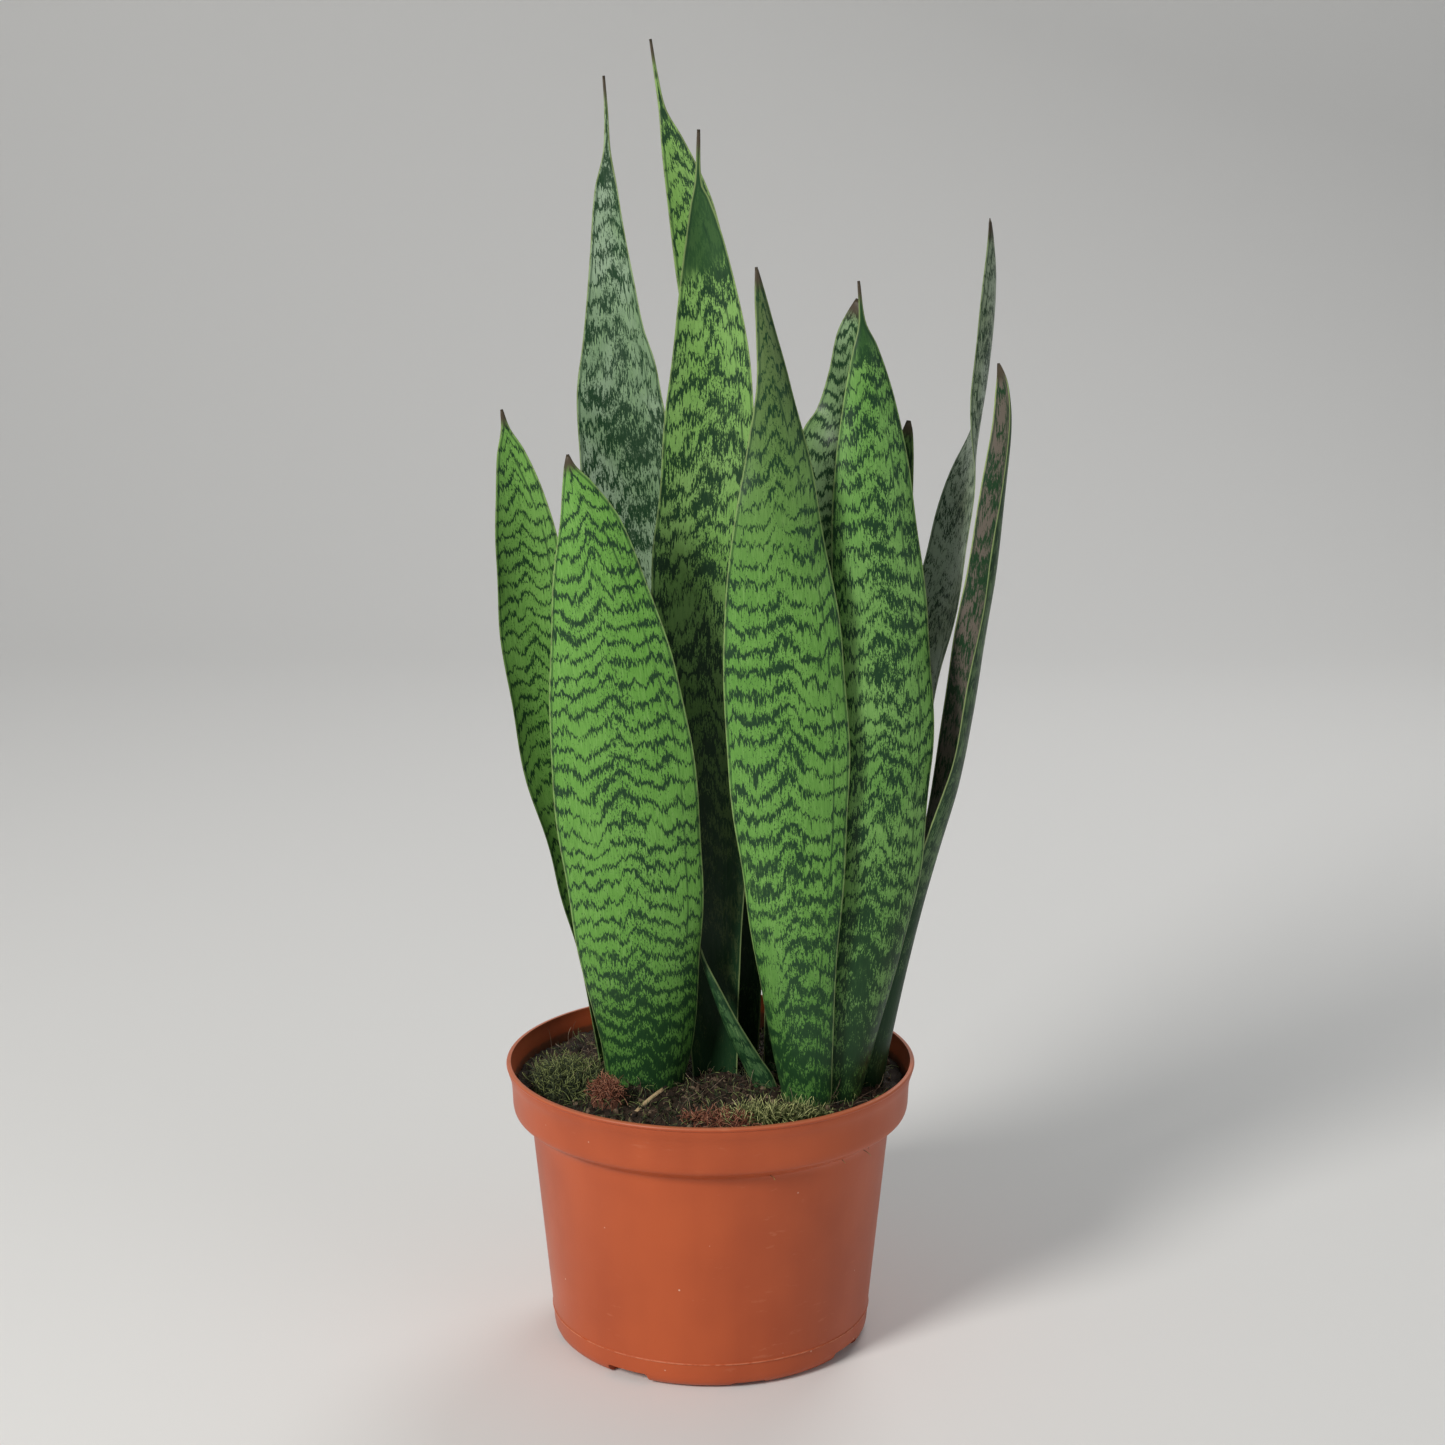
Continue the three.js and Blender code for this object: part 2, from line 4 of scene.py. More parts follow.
import bmesh
import bpy
import numpy as np
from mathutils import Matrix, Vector


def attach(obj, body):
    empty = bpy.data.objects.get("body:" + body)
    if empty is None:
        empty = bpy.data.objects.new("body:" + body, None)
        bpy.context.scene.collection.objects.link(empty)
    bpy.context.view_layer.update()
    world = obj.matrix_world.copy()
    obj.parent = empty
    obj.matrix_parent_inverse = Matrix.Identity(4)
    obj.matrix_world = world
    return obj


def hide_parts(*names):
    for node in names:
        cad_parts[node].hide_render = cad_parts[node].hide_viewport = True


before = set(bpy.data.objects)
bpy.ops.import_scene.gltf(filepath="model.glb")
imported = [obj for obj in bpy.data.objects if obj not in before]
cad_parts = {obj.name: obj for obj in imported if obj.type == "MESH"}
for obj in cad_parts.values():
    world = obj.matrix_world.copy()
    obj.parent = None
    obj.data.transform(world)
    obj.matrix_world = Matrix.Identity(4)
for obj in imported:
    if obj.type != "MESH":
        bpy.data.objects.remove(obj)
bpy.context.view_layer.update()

MM = 0.001

# %% [markdown]
# # A potted snake plant
#
# A snake plant is a clump of stiff, fleshy leaves that stand straight up out of the soil. Each leaf
# is one curved blade: a channel at the foot, a flat sword in the middle, a dry needle at the tip.
# Its pattern is cross bands of dark green, torn into fine teeth by the fibres that run up the leaf.
#
# The model is built from the outside in. First comes the studio, then the leaves, which are most of
# what anyone sees, then the moulded pot, and last the soil with its crumbs, fibres, moss and straw.
# Everything is in metres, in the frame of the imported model, which stands on the origin.

# %% [markdown]
# ## The studio
#
# A plant is judged by its silhouette and its gloss, so the room stays plain: a pale floor that
# curves up into a backdrop, one large soft light from the front left, which gives the bright left
# side and the dark right side of the pot, and weak fill lights so that the shaded leaves keep
# their green. The camera has a long lens and looks slightly down, into the mouth of the pot.

# %% Camera
CAMERA_PLACE = (0.0056, -1.245, 0.573)
CAMERA_PITCH = math.radians(12.7)
CAMERA_LENS = 70.0


def link(thing):
    bpy.context.scene.collection.objects.link(thing)
    return thing


def make_camera():
    data = bpy.data.cameras.new("camera")
    data.lens = CAMERA_LENS
    camera = link(bpy.data.objects.new("camera", data))
    camera.location = CAMERA_PLACE
    camera.rotation_euler = (math.pi / 2 - CAMERA_PITCH, 0, 0)
    bpy.context.scene.camera = camera


make_camera()
print("camera looks", round(math.degrees(CAMERA_PITCH), 1), "degrees down")

# %% [markdown]
# The helpers below build node trees in a line or two a node. `put` adds a node, sets its options
# and fills its inputs, each with a plain value or with another node's output. `step` adds a node
# that takes a geometry and hands it on changed. `calc` and `vector` are the scalar and vector sums
# that geometry and shader trees share, and `add_up` is a row of them.

# %% Node helpers


def put(tree, kind, inputs=None, **options):
    node = tree.nodes.new(kind)
    for name, value in options.items():
        setattr(node, name, value)
    for key, value in (inputs or {}).items():
        if isinstance(value, bpy.types.NodeSocket):
            tree.links.new(value, node.inputs[key])
        else:
            node.inputs[key].default_value = value
    return node


def step(tree, kind, flow, inputs=None, **options):
    inputs = {"Geometry": flow} | (inputs or {})
    return put(tree, "GeometryNode" + kind, inputs, **options).outputs[0]


def calc(tree, operation, *values, clamp=False):
    inputs = dict(enumerate(values))
    return put(tree, "ShaderNodeMath", inputs, operation=operation, use_clamp=clamp).outputs[0]


def times(tree, first, *others):
    for other in others:
        first = calc(tree, "MULTIPLY", first, other)
    return first


def add_up(tree, base, *terms):
    """The base plus each (value, weight)."""
    for value, weight in terms:
        base = calc(tree, "MULTIPLY_ADD", value, weight, base)
    return base


def vector(tree, operation, *values):
    inputs = dict(enumerate(values))
    if operation == "SCALE":
        inputs = {0: values[0], "Scale": values[1]}
    node = put(tree, "ShaderNodeVectorMath", inputs, operation=operation)
    return node.outputs["Value" if operation == "DOT_PRODUCT" else "Vector"]


def combine(tree, x, y, z):
    return put(tree, "ShaderNodeCombineXYZ", {0: x, 1: y, 2: z}).outputs[0]


def parts(tree, value):
    """The x, y and z of a vector."""
    return put(tree, "ShaderNodeSeparateXYZ", {0: value}).outputs


def noise(tree, place, scale=1.0, detail=2.0, roughness=0.5):
    inputs = {"Vector": place, "Scale": scale, "Detail": detail, "Roughness": roughness}
    return put(tree, "ShaderNodeTexNoise", inputs).outputs[0]


def swing(tree, value):
    """A noise value from 0..1 turned into about -1..1."""
    return calc(tree, "MULTIPLY_ADD", value, 2.0, -1.0)


def ramp(tree, value, low, high):
    """A smooth step: 0 below low, 1 above high. Low may lie above high to turn it round."""
    inputs = {"Value": value, "From Min": low, "From Max": high}
    return put(tree, "ShaderNodeMapRange", inputs, interpolation_type="SMOOTHSTEP").outputs[0]


def new_tree(name, kind, inputs, outputs):
    """A node tree with named inputs {name: (type, default)} and outputs {name: type}."""
    tree = bpy.data.node_groups.new(name, kind)
    for label, (type_name, default) in inputs.items():
        socket = tree.interface.new_socket(
            label, in_out="INPUT", socket_type="NodeSocket" + type_name)
        if default is not None:
            socket.default_value = default
    for label, type_name in outputs.items():
        tree.interface.new_socket(label, in_out="OUTPUT", socket_type="NodeSocket" + type_name)
    return tree, put(tree, "NodeGroupInput").outputs, put(tree, "NodeGroupOutput")


def finish_tree(tree, output, results):
    for label, value in results.items():
        tree.links.new(value, output.inputs[label])
    return tree


# %% [markdown]
# The floor is one sheet. It runs from in front of the camera to behind the plant and then curves
# up, so that no line shows where the floor ends. It isn't part of the plant, so it rides on no
# body.

# %% Floor and backdrop
FLOOR_COLOUR = (0.80, 0.79, 0.77, 1)
FLOOR_ROUGHNESS = 0.9
FLOOR_HALF_WIDTH = 12.0
FLOOR_FRONT = -12.0
SWEEP_START = 1.6
SWEEP_RADIUS = 1.0
SWEEP_STEPS = 16
BACKDROP_HEIGHT = 6.0


def new_material(name):
    material = bpy.data.materials.new(name)
    material.use_nodes = True
    tree = material.node_tree
    return material, tree, tree.nodes["Principled BSDF"]


def new_object(name, points, faces, unit=1.0):
    """An object from points and faces. The unit turns the points' own unit into metres."""
    mesh = bpy.data.meshes.new(name)
    mesh.from_pydata((np.array(points) * unit).tolist(), [], faces)
    return link(bpy.data.objects.new(name, mesh))


def make_floor():
    profile = [(FLOOR_FRONT, 0.0)]
    for angle in np.linspace(0, math.pi / 2, SWEEP_STEPS + 1):
        profile.append((
            SWEEP_START + SWEEP_RADIUS * math.sin(angle),
            SWEEP_RADIUS * (1 - math.cos(angle)),
        ))
    profile.append((SWEEP_START + SWEEP_RADIUS, BACKDROP_HEIGHT))
    points = [(side, y, z) for y, z in profile for side in (-FLOOR_HALF_WIDTH, FLOOR_HALF_WIDTH)]
    faces = [(2 * i, 2 * i + 1, 2 * i + 3, 2 * i + 2) for i in range(len(profile) - 1)]
    floor = new_object("floor", points, faces)
    floor.data.shade_smooth()
    material, _, shader = new_material("studio floor")
    shader.inputs["Base Color"].default_value = FLOOR_COLOUR
    shader.inputs["Roughness"].default_value = FLOOR_ROUGHNESS
    floor.data.materials.append(material)
    return floor


make_floor()
print("floor and backdrop:", 2 * FLOOR_HALF_WIDTH, "m wide")

# %% [markdown]
# Three round area lights are aimed at the middle of the plant. The key light stands close and a
# little warm, and makes the soft gloss down the left of each leaf. The fill light is wide, cool and
# weak. The back light draws a thin bright edge, so that the dark leaves stay apart from each other.
# The air itself gives a little light too, so no shadow is black.

# %% Lights
PLANT_MIDDLE = Vector((0.0, 0.0, 0.28))
# name: (place, size in metres, power in watts, colour)
LIGHTS = {
    "key light": ((-1.5, -1.7, 1.5), 0.8, 54, (1.0, 0.98, 0.95)),
    "fill light": ((1.7, -1.4, 0.9), 1.6, 6, (0.95, 0.98, 1.0)),
    "back light": ((0.6, 1.4, 1.7), 1.0, 12, (1.0, 1.0, 1.0)),
}
AIR_COLOUR = (0.9, 0.95, 1.0, 1)
AIR_STRENGTH = 0.22


def soft_light(name, place, size, power, colour):
    data = bpy.data.lights.new(name, "AREA")
    data.shape = "DISK"
    data.size = size
    data.energy = power
    data.color = colour
    lamp = link(bpy.data.objects.new(name, data))
    lamp.location = place
    lamp.rotation_euler = (PLANT_MIDDLE - Vector(place)).to_track_quat("-Z", "Y").to_euler()


def make_air():
    world = bpy.data.worlds.new("studio air")
    world.use_nodes = True
    background = world.node_tree.nodes["Background"]
    background.inputs["Color"].default_value = AIR_COLOUR
    background.inputs["Strength"].default_value = AIR_STRENGTH
    bpy.context.scene.world = world


for light, settings in LIGHTS.items():
    soft_light(light, *settings)
make_air()
bpy.context.scene.view_settings.view_transform = "Standard"
print("lights:", ", ".join(LIGHTS))

# %% [markdown]
# ## Leaves: the line each one follows
#
# A leaf could be sculpted, or modelled as a plane and bent with a lattice. But a leaf grows by a
# rule: its cross-section is an arc of the same skin all the way up, and only the width, the bend
# of the arc and the direction it faces change. So each leaf is a short table of cross-sections,
# and everything in between is worked out. A row is, in millimetres and degrees:
#
# `(x, y, height above the soil, half width, facing, cup)`
#
# `facing` is where the hollow side looks, 0 to the front, 90 to the right and 180 to the back.
# `cup` is half the arc: 75 at the foot is nearly a tube, 20 in the middle is almost flat.

# %% Cross-sections of the twelve leaves
SOIL_LEVEL = 123
LEAF_ROWS = {
    "leaf_front_left": [
        (-31, -19, -28, 13, 182, 75), (-30, -20, 0, 20.5, 182, 56), (-29, -23, 25, 24.5, 182, 45),
        (-31, -27, 55, 28, 181, 34), (-34, -30, 100, 32, 180, 26), (-39, -34, 155, 33, 178, 22),
        (-43, -36, 197, 28.8, 176, 20), (-48, -38, 233, 22.5, 174, 20),
        (-52, -40, 264, 14.8, 172, 22), (-57, -41, 282, 7.6, 171, 20), (-60, -42, 291, 3, 170, 10),
        (-61, -42, 297, 0.6, 170, 10),
    ],
    "leaf_front_centre": [
        (38, -42, -28, 9, 140, 75), (40, -42, 0, 15, 146, 60), (39, -43, 22, 16.8, 154, 50),
        (38, -43, 52, 18.5, 164, 40), (37, -43, 90, 22, 172, 32), (36, -42, 130, 26, 178, 26),
        (34.5, -41, 168, 28, 181, 22), (33, -40, 200, 27.3, 183, 20),
        (31, -39, 235, 24.6, 184, 20), (30, -38, 268, 19.2, 185, 22),
        (29.5, -36, 298, 13.8, 187, 24), (28, -35, 325, 8, 192, 26),
        (24.5, -34, 348, 4.7, 196, 26), (22, -33, 363, 2.8, 198, 20), (20, -32, 376, 0.6, 198, 10),
    ],
    "leaf_front_right": [
        (60, -34, -28, 9, 204, 75), (60.5, -35, 0, 14.5, 205, 60), (63.5, -34, 22, 17, 204, 50),
        (67.3, -32, 50, 19.5, 199, 42), (73, -29, 88, 22, 192, 34), (77, -27, 128, 23.2, 192, 28),
        (78.5, -26, 165, 23.3, 189, 26), (77.5, -25, 198, 22.8, 187, 24),
        (75, -23, 232, 21.6, 186, 24), (73, -21, 264, 19.6, 186, 24),
        (71.2, -19, 294, 16.2, 186, 26), (70, -17, 319, 11.6, 187, 26),
        (68, -16, 340, 5.8, 188, 22), (66.4, -15, 351, 1.7, 188, 12),
        (64.6, -15, 369, 0.6, 188, 10),
    ],
    "leaf_centre": [
        (3, 4, -28, 9, 2, 75), (2, 3, 0, 12.5, 2, 64), (1, 3, 38, 14, 1, 54),
        (-1, 4, 105, 19, 0, 40), (-2.5, 5, 168, 23, 0, 32), (-3, 6, 210, 24.2, -2, 28),
        (-2.5, 7, 243, 24, -3, 26), (-1, 8, 270, 22.6, -4, 26), (0.3, 8, 302, 21.2, -5, 26),
        (0.8, 8, 328, 18.9, -5, 28), (-0.2, 8, 359, 14.2, -5, 30), (-1.8, 7, 382, 9.8, -5, 32),
        (-4, 6, 402, 4.6, -4, 30), (-5, 5, 410, 1.7, -3, 20), (-4.8, 4, 433, 0.7, 0, 10),
    ],
    "leaf_tallest": [
        (11, 30, -28, 9, 20, 75), (11, 31, 0, 12.5, 18, 62), (11, 33, 70, 15, 12, 50),
        (9, 37, 160, 20, 5, 38), (7, 40, 240, 20.5, 0, 28), (4, 43, 300, 17.6, -4, 26),
        (1, 45, 345, 14.2, -6, 26), (-4, 46, 376, 12.6, -6, 28), (-8, 47, 396, 11.2, -6, 28),
        (-12.2, 48, 411, 8.8, -5, 28), (-17, 48, 427, 5.4, -4, 26), (-21.4, 49, 441, 1.8, -2, 16),
        (-24.4, 50, 457, 0.9, 0, 10), (-26.7, 50, 472, 0.6, 0, 10),
    ],
    "leaf_back_left": [
        (-17, 34, -28, 9, 30, 75), (-17, 35, 0, 13, 26, 62), (-20, 38, 70, 16.5, 18, 50),
        (-26, 43, 150, 19.5, 10, 38), (-32, 46, 215, 21, 4, 28), (-37.5, 49, 265, 21.8, 0, 24),
        (-39.8, 50, 293, 21.6, -4, 24), (-41.2, 51, 310, 20.6, -8, 26),
        (-41.2, 52, 326, 19.2, -14, 28), (-42.4, 53, 341, 16.4, -22, 30),
        (-43.6, 53, 357, 13.6, -26, 32), (-45, 54, 379, 10.2, -26, 32),
        (-46.8, 55, 405, 6, -18, 28), (-46.8, 55, 422, 1.9, -10, 16), (-47, 55, 440, 0.9, 0, 10),
        (-48, 55, 456, 0.6, 0, 10),
    ],
    "leaf_far_left": [
        (-46, 18, -28, 8, 42, 75), (-47, 19, 0, 12, 38, 62), (-52, 20, 50, 15, 30, 52),
        (-61, 20, 100, 16.6, 24, 44), (-71, 21, 138, 17, 22, 40), (-78, 21, 178, 17.2, 20, 36),
        (-82, 21, 215, 17, 18, 34), (-84, 20, 245, 15.8, 16, 32), (-86.5, 18, 270, 11.8, 14, 30),
        (-90, 17, 290, 6.8, 12, 26), (-92, 16, 301, 2.2, 10, 14), (-93.5, 15, 310, 0.6, 10, 10),
    ],
    "leaf_behind_right": [
        (33, 10, -28, 9, 12, 75), (34, 9, 0, 12.5, 10, 62), (39, 6, 60, 15.5, 6, 50),
        (46, 4, 130, 18, 2, 38), (51, 2, 190, 18.8, 0, 30), (53, 2, 240, 18.4, -2, 28),
        (54.5, 3, 282, 18.2, -6, 28), (57, 4, 297, 17, -26, 30), (59.5, 5, 308, 15, -52, 34),
        (61.5, 5, 326, 11.6, -58, 34), (62.5, 5, 343, 8, -50, 28), (64, 5, 354, 3.4, -36, 18),
        (65, 5, 360, 0.6, -30, 10),
    ],
    "leaf_hidden_tip": [
        (42, 38, -28, 8, -20, 75), (44, 38, 0, 11, -20, 62), (54, 36, 70, 13, -22, 48),
        (68, 32, 150, 14, -24, 38), (79, 28, 215, 11.6, -26, 30), (85, 26, 260, 8.6, -28, 28),
        (88, 25, 284, 5.6, -28, 26), (89.4, 24, 298, 3, -28, 20), (89.8, 24, 304, 1, -28, 10),
    ],
    "leaf_right_ribbon": [
        (66, 11, -28, 8, -52, 75), (69, 11, 0, 11.5, -54, 62), (79, 14, 60, 14, -56, 50),
        (90, 18, 125, 16, -58, 40), (98, 21, 178, 17, -60, 32), (103.6, 22, 210, 17.6, -60, 28),
        (109.4, 23, 235, 17.4, -61, 26), (113.6, 24, 258, 16, -64, 26),
        (117.6, 25, 280, 14.4, -74, 26), (121, 26, 298, 14, -92, 26),
        (123.6, 27, 318, 14, -106, 24), (125.8, 28, 342, 13, -110, 22),
        (126.8, 28, 368, 9.4, -112, 20), (126, 28, 384, 4.6, -112, 16),
        (125, 28, 394, 0.7, -112, 10),
    ],
    "leaf_right_channel": [
        (76, -8, -28, 7, -112, 75), (78, -9, 0, 10.5, -112, 66), (84.5, -8, 35, 12, -108, 60),
        (94, -3, 75, 13, -102, 58), (104, 0, 112, 15.5, -94, 56), (112, -5, 145, 17.4, -86, 54),
        (117, -9, 178, 18, -80, 54), (121, -12, 210, 17, -77, 54), (126, -11, 245, 15, -74, 54),
        (129, -11, 280, 11.6, -70, 52), (131, -10, 306, 8.6, -66, 48),
        (129.5, -10, 323, 5, -60, 40), (126.5, -10, 333, 1, -60, 10),
    ],
    "leaf_young": [
        (27, -21, -24, 5, 140, 75), (24, -20, 0, 7.6, 140, 62), (17.5, -18, 13, 6.6, 140, 56),
        (9.5, -16, 29, 4.8, 142, 50), (2, -14, 47, 2.8, 146, 40), (-3, -13, 60, 1.3, 148, 24),
        (-5, -12.5, 68, 0.5, 148, 10),
    ],
}

# %% [markdown]
# Between two rows the values follow a smooth curve, so that a leaf has no kinks. The result is a
# line of points, called a spine, with the section's values stored on every point as attributes.
# A spine is a mesh with points and no faces: geometry nodes can read it, and nothing renders it.

# %% Spines
SECTIONS = 190
THINNEST_HALF = 0.4 * MM
CUP_LIMITS = (math.radians(3), math.radians(110))


def smooth_values(distances, rows, wanted):
    """Cubic curves through rows of values at growing distances, read at the wanted distances."""
    values = np.array(rows, float)
    slopes = np.empty_like(values)
    slopes[1:-1] = (values[2:] - values[:-2]) / (distances[2:] - distances[:-2])[:, None]
    slopes[0] = (values[1] - values[0]) / (distances[1] - distances[0])
    slopes[-1] = (values[-1] - values[-2]) / (distances[-1] - distances[-2])
    span = np.clip(np.searchsorted(distances, wanted) - 1, 0, len(distances) - 2)
    length = (distances[span + 1] - distances[span])[:, None]
    t = (wanted - distances[span])[:, None] / length
    rise = 3 * t**2 - 2 * t**3
    curve = (1 - rise) * values[span] + rise * values[span + 1]
    leaving = (t**3 - 2 * t**2 + t) * length * slopes[span]
    arriving = (t**3 - t**2) * length * slopes[span + 1]
    return curve + leaving + arriving


def make_spine(name, rows):
    table = np.array(rows, float)
    table[:, 2] += SOIL_LEVEL
    table[:, :4] *= MM
    table[:, 4:] = np.radians(table[:, 4:])
    steps = np.linalg.norm(np.diff(table[:, :3], axis=0), axis=1)
    distances = np.concatenate([[0], np.cumsum(steps)])
    wanted = np.linspace(0, distances[-1], SECTIONS)
    sections = smooth_values(distances, table, wanted)
    places = sections[:, :3]
    directions = np.gradient(places, axis=0)
    directions /= np.linalg.norm(directions, axis=1)[:, None]
    spine = new_object(name, places, [])
    columns = {
        "half_width": np.maximum(sections[:, 3], THINNEST_HALF),
        "facing": sections[:, 4],
        "cup": np.clip(sections[:, 5], *CUP_LIMITS),
        "along": wanted,
        "share": wanted / wanted[-1],
    }
    new_column = spine.data.attributes.new
    for label, column in columns.items():
        new_column(label, "FLOAT", "POINT").data.foreach_set("value", column)
    new_column("direction", "FLOAT_VECTOR", "POINT").data.foreach_set("vector", directions.ravel())
    return spine, distances[-1]


# %% [markdown]
# ## Leaves: the blade, by geometry nodes
#
# The blade's skin is a flat grid. One way across the grid runs once round the section, down the
# hollow face and back up the other. The other way runs from foot to tip. Each grid point reads its
# section from the spine and moves to its place: round the arc, then out by half the thickness.
# A fleshy leaf is thick in the middle and thin at the margin. The margins ripple a little and the
# skin is slightly uneven, or the blade would look stamped. Merging the seam closes the skin.
#
# Places on the leaf are stored as attributes: `across` and `along` in metres, `rim` for the
# distance to the nearest margin and `share` from 0 at the foot to 1 at the tip. The pattern of the
# leaf follows them, so it bends and twists with the blade.

# %% The leaf blade tree
AROUND = 60
RIPPLE_EDGE_POWER = 2.5
RIPPLE_SIDE_SHIFT = 2.1
LUMPS_ACROSS, LUMPS_ALONG = 42.0, 17.0
SEAM_DISTANCE = 1e-6


def make_blade_tree():
    tree, given, output = new_tree("leaf blade", "GeometryNodeTree", {
        "Spine": ("Geometry", None),
        "Foot Thickness": ("Float", 4.2 * MM),
        "Tip Thickness": ("Float", 1.1 * MM),
        "Margin Thickness": ("Float", 1.1 * MM),
        "Ripple": ("Float", 0.9 * MM),
        "Ripple Length": ("Float", 62 * MM),
        "Unevenness": ("Float", 0.5 * MM),
        "Seed": ("Float", 0.0),
        "Skin": ("Material", None),
    }, {"Geometry": "Geometry"})
    grid = put(tree, "GeometryNodeMeshGrid", {
        "Size X": 1.0, "Size Y": 1.0, "Vertices X": SECTIONS, "Vertices Y": AROUND + 1,
    })
    place = parts(tree, put(tree, "GeometryNodeInputPosition").outputs[0])
    last_row = float(SECTIONS - 1)
    row = calc(tree, "ROUND", times(tree, calc(tree, "ADD", place[0], 0.5), last_row))
    turn = times(tree, calc(tree, "ADD", place[1], 0.5), 2 * math.pi)

    def read(label, kind="FLOAT"):
        if label == "position":
            source = put(tree, "GeometryNodeInputPosition")
        else:
            source = put(tree, "GeometryNodeInputNamedAttribute", {"Name": label}, data_type=kind)
        return put(tree, "GeometryNodeSampleIndex", {
            "Geometry": given["Spine"], "Value": source.outputs[0], "Index": row,
        }, data_type=kind, domain="POINT", clamp=True).outputs[0]

    spot = read("position", "FLOAT_VECTOR")
    direction = read("direction", "FLOAT_VECTOR")
    half, cup, facing = read("half_width"), read("cup"), read("facing")
    along, share = read("along"), read("share")

    side_share = calc(tree, "COSINE", turn)
    face = calc(tree, "SINE", turn)
    across = times(tree, side_share, half)
    rim = calc(tree, "SUBTRACT", half, calc(tree, "ABSOLUTE", across))

    # The section's own axes: the normal looks out of the hollow, square to the spine.
    look_y = times(tree, calc(tree, "COSINE", facing), -1.0)
    look = combine(tree, calc(tree, "SINE", facing), look_y, 0.0)
    slip = vector(tree, "SCALE", direction, vector(tree, "DOT_PRODUCT", look, direction))
    normal = vector(tree, "NORMALIZE", vector(tree, "SUBTRACT", look, slip))
    side = vector(tree, "CROSS_PRODUCT", direction, normal)

    # The arc through the middle of the flesh.
    angle = times(tree, cup, side_share)
    sine, cosine = calc(tree, "SINE", angle), calc(tree, "COSINE", angle)
    bend = calc(tree, "DIVIDE", half, cup)
    sideways = times(tree, bend, sine)
    inwards = times(tree, bend, calc(tree, "SUBTRACT", 1.0, cosine))
    outward = vector(
        tree, "SUBTRACT", vector(tree, "SCALE", normal, cosine), vector(tree, "SCALE", side, sine))

    # The flesh: thick in the middle, thin at the margins, and closed at both ends.
    middle = put(tree, "ShaderNodeMix", {
        0: share, 2: given["Foot Thickness"], 3: given["Tip Thickness"],
    }).outputs[0]
    body = calc(tree, "SUBTRACT", middle, given["Margin Thickness"])
    thickness = add_up(tree, given["Margin Thickness"], (calc(tree, "ABSOLUTE", face), body))
    past_first = calc(tree, "GREATER_THAN", row, 0.5)
    before_last = calc(tree, "LESS_THAN", row, last_row - 0.5)
    half_thick = times(tree, face, 0.5, thickness, times(tree, past_first, before_last))

    # Ripples at the margins and lumps in the skin, which die out at the foot and the tip.
    settle = times(tree, ramp(tree, share, 0.12, 0.35), ramp(tree, share, 1.0, 0.7))
    edge_pull = calc(tree, "POWER", calc(tree, "ABSOLUTE", side_share), RIPPLE_EDGE_POWER)
    on_right = calc(tree, "GREATER_THAN", side_share, 0.0)
    wave = calc(
        tree, "ADD", calc(tree, "DIVIDE", times(tree, along, 2 * math.pi), given["Ripple Length"]),
        add_up(tree, given["Seed"], (on_right, RIPPLE_SIDE_SHIFT)))
    ripple = times(
        tree, calc(tree, "SINE", wave), given["Ripple"], times(tree, edge_pull, settle))
    skin_place = combine(
        tree, times(tree, across, LUMPS_ACROSS), times(tree, along, LUMPS_ALONG), given["Seed"])
    lumps = times(tree, swing(tree, noise(tree, skin_place)), given["Unevenness"], settle)
    lift = calc(tree, "ADD", half_thick, calc(tree, "ADD", ripple, lumps))

    final = spot
    for axis, distance in ((side, sideways), (normal, inwards), (outward, lift)):
        final = vector(tree, "ADD", final, vector(tree, "SCALE", axis, distance))

    flow = grid.outputs["Mesh"]
    kept = {
        "across": across, "along": along, "rim": rim, "share": share, "half": half, "face": face,
    }
    for label, value in kept.items():
        flow = step(
            tree, "StoreNamedAttribute", flow, {"Name": label, "Value": value},
            data_type="FLOAT", domain="POINT")
    flow = step(tree, "SetPosition", flow, {"Position": final})
    flow = step(tree, "MergeByDistance", flow, {"Distance": SEAM_DISTANCE})
    flow = step(tree, "SetShadeSmooth", flow)
    flow = step(tree, "RealizeInstances", flow)
    flow = step(tree, "SetMaterial", flow, {"Material": given["Skin"]})
    return finish_tree(tree, output, {"Geometry": flow})


blade_tree = make_blade_tree()
print("leaf blade tree:", len(blade_tree.nodes), "nodes")

# %% [markdown]
# A tree runs as a modifier. Its inputs are found by their names and set by their identifiers. The
# exported model can't hold a modifier, so the result is taken as a plain mesh and the modifier is
# removed. Every finished piece is then kept: it rides on the body of the pot, and may stand in for
# one of the imported solids.

# %% Run a tree, keep a piece


def flatten(thing):
    """Gives the object the mesh that its modifiers make, and removes them."""
    bpy.context.view_layer.update()
    depsgraph = bpy.context.evaluated_depsgraph_get()
    mesh = bpy.data.meshes.new_from_object(
        thing.evaluated_get(depsgraph), preserve_all_data_layers=True, depsgraph=depsgraph)
    thing.modifiers.clear()
    thing.data = mesh
    mesh.name = thing.name


def run_tree(thing, tree, values):
    modifier = thing.modifiers.new(tree.name, "NODES")
    modifier.node_group = tree
    for item in tree.interface.items_tree:
        if item.item_type == "SOCKET" and item.in_out == "INPUT" and item.name in values:
            modifier[item.identifier] = values[item.name]
    flatten(thing)
    return thing


def triangles(thing):
    return sum(len(face.vertices) - 2 for face in thing.data.polygons)


def keep(piece, node=None):
    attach(piece, "root")
    if node:
        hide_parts(node)
    print(f"{piece.name}: {triangles(piece)} triangles")
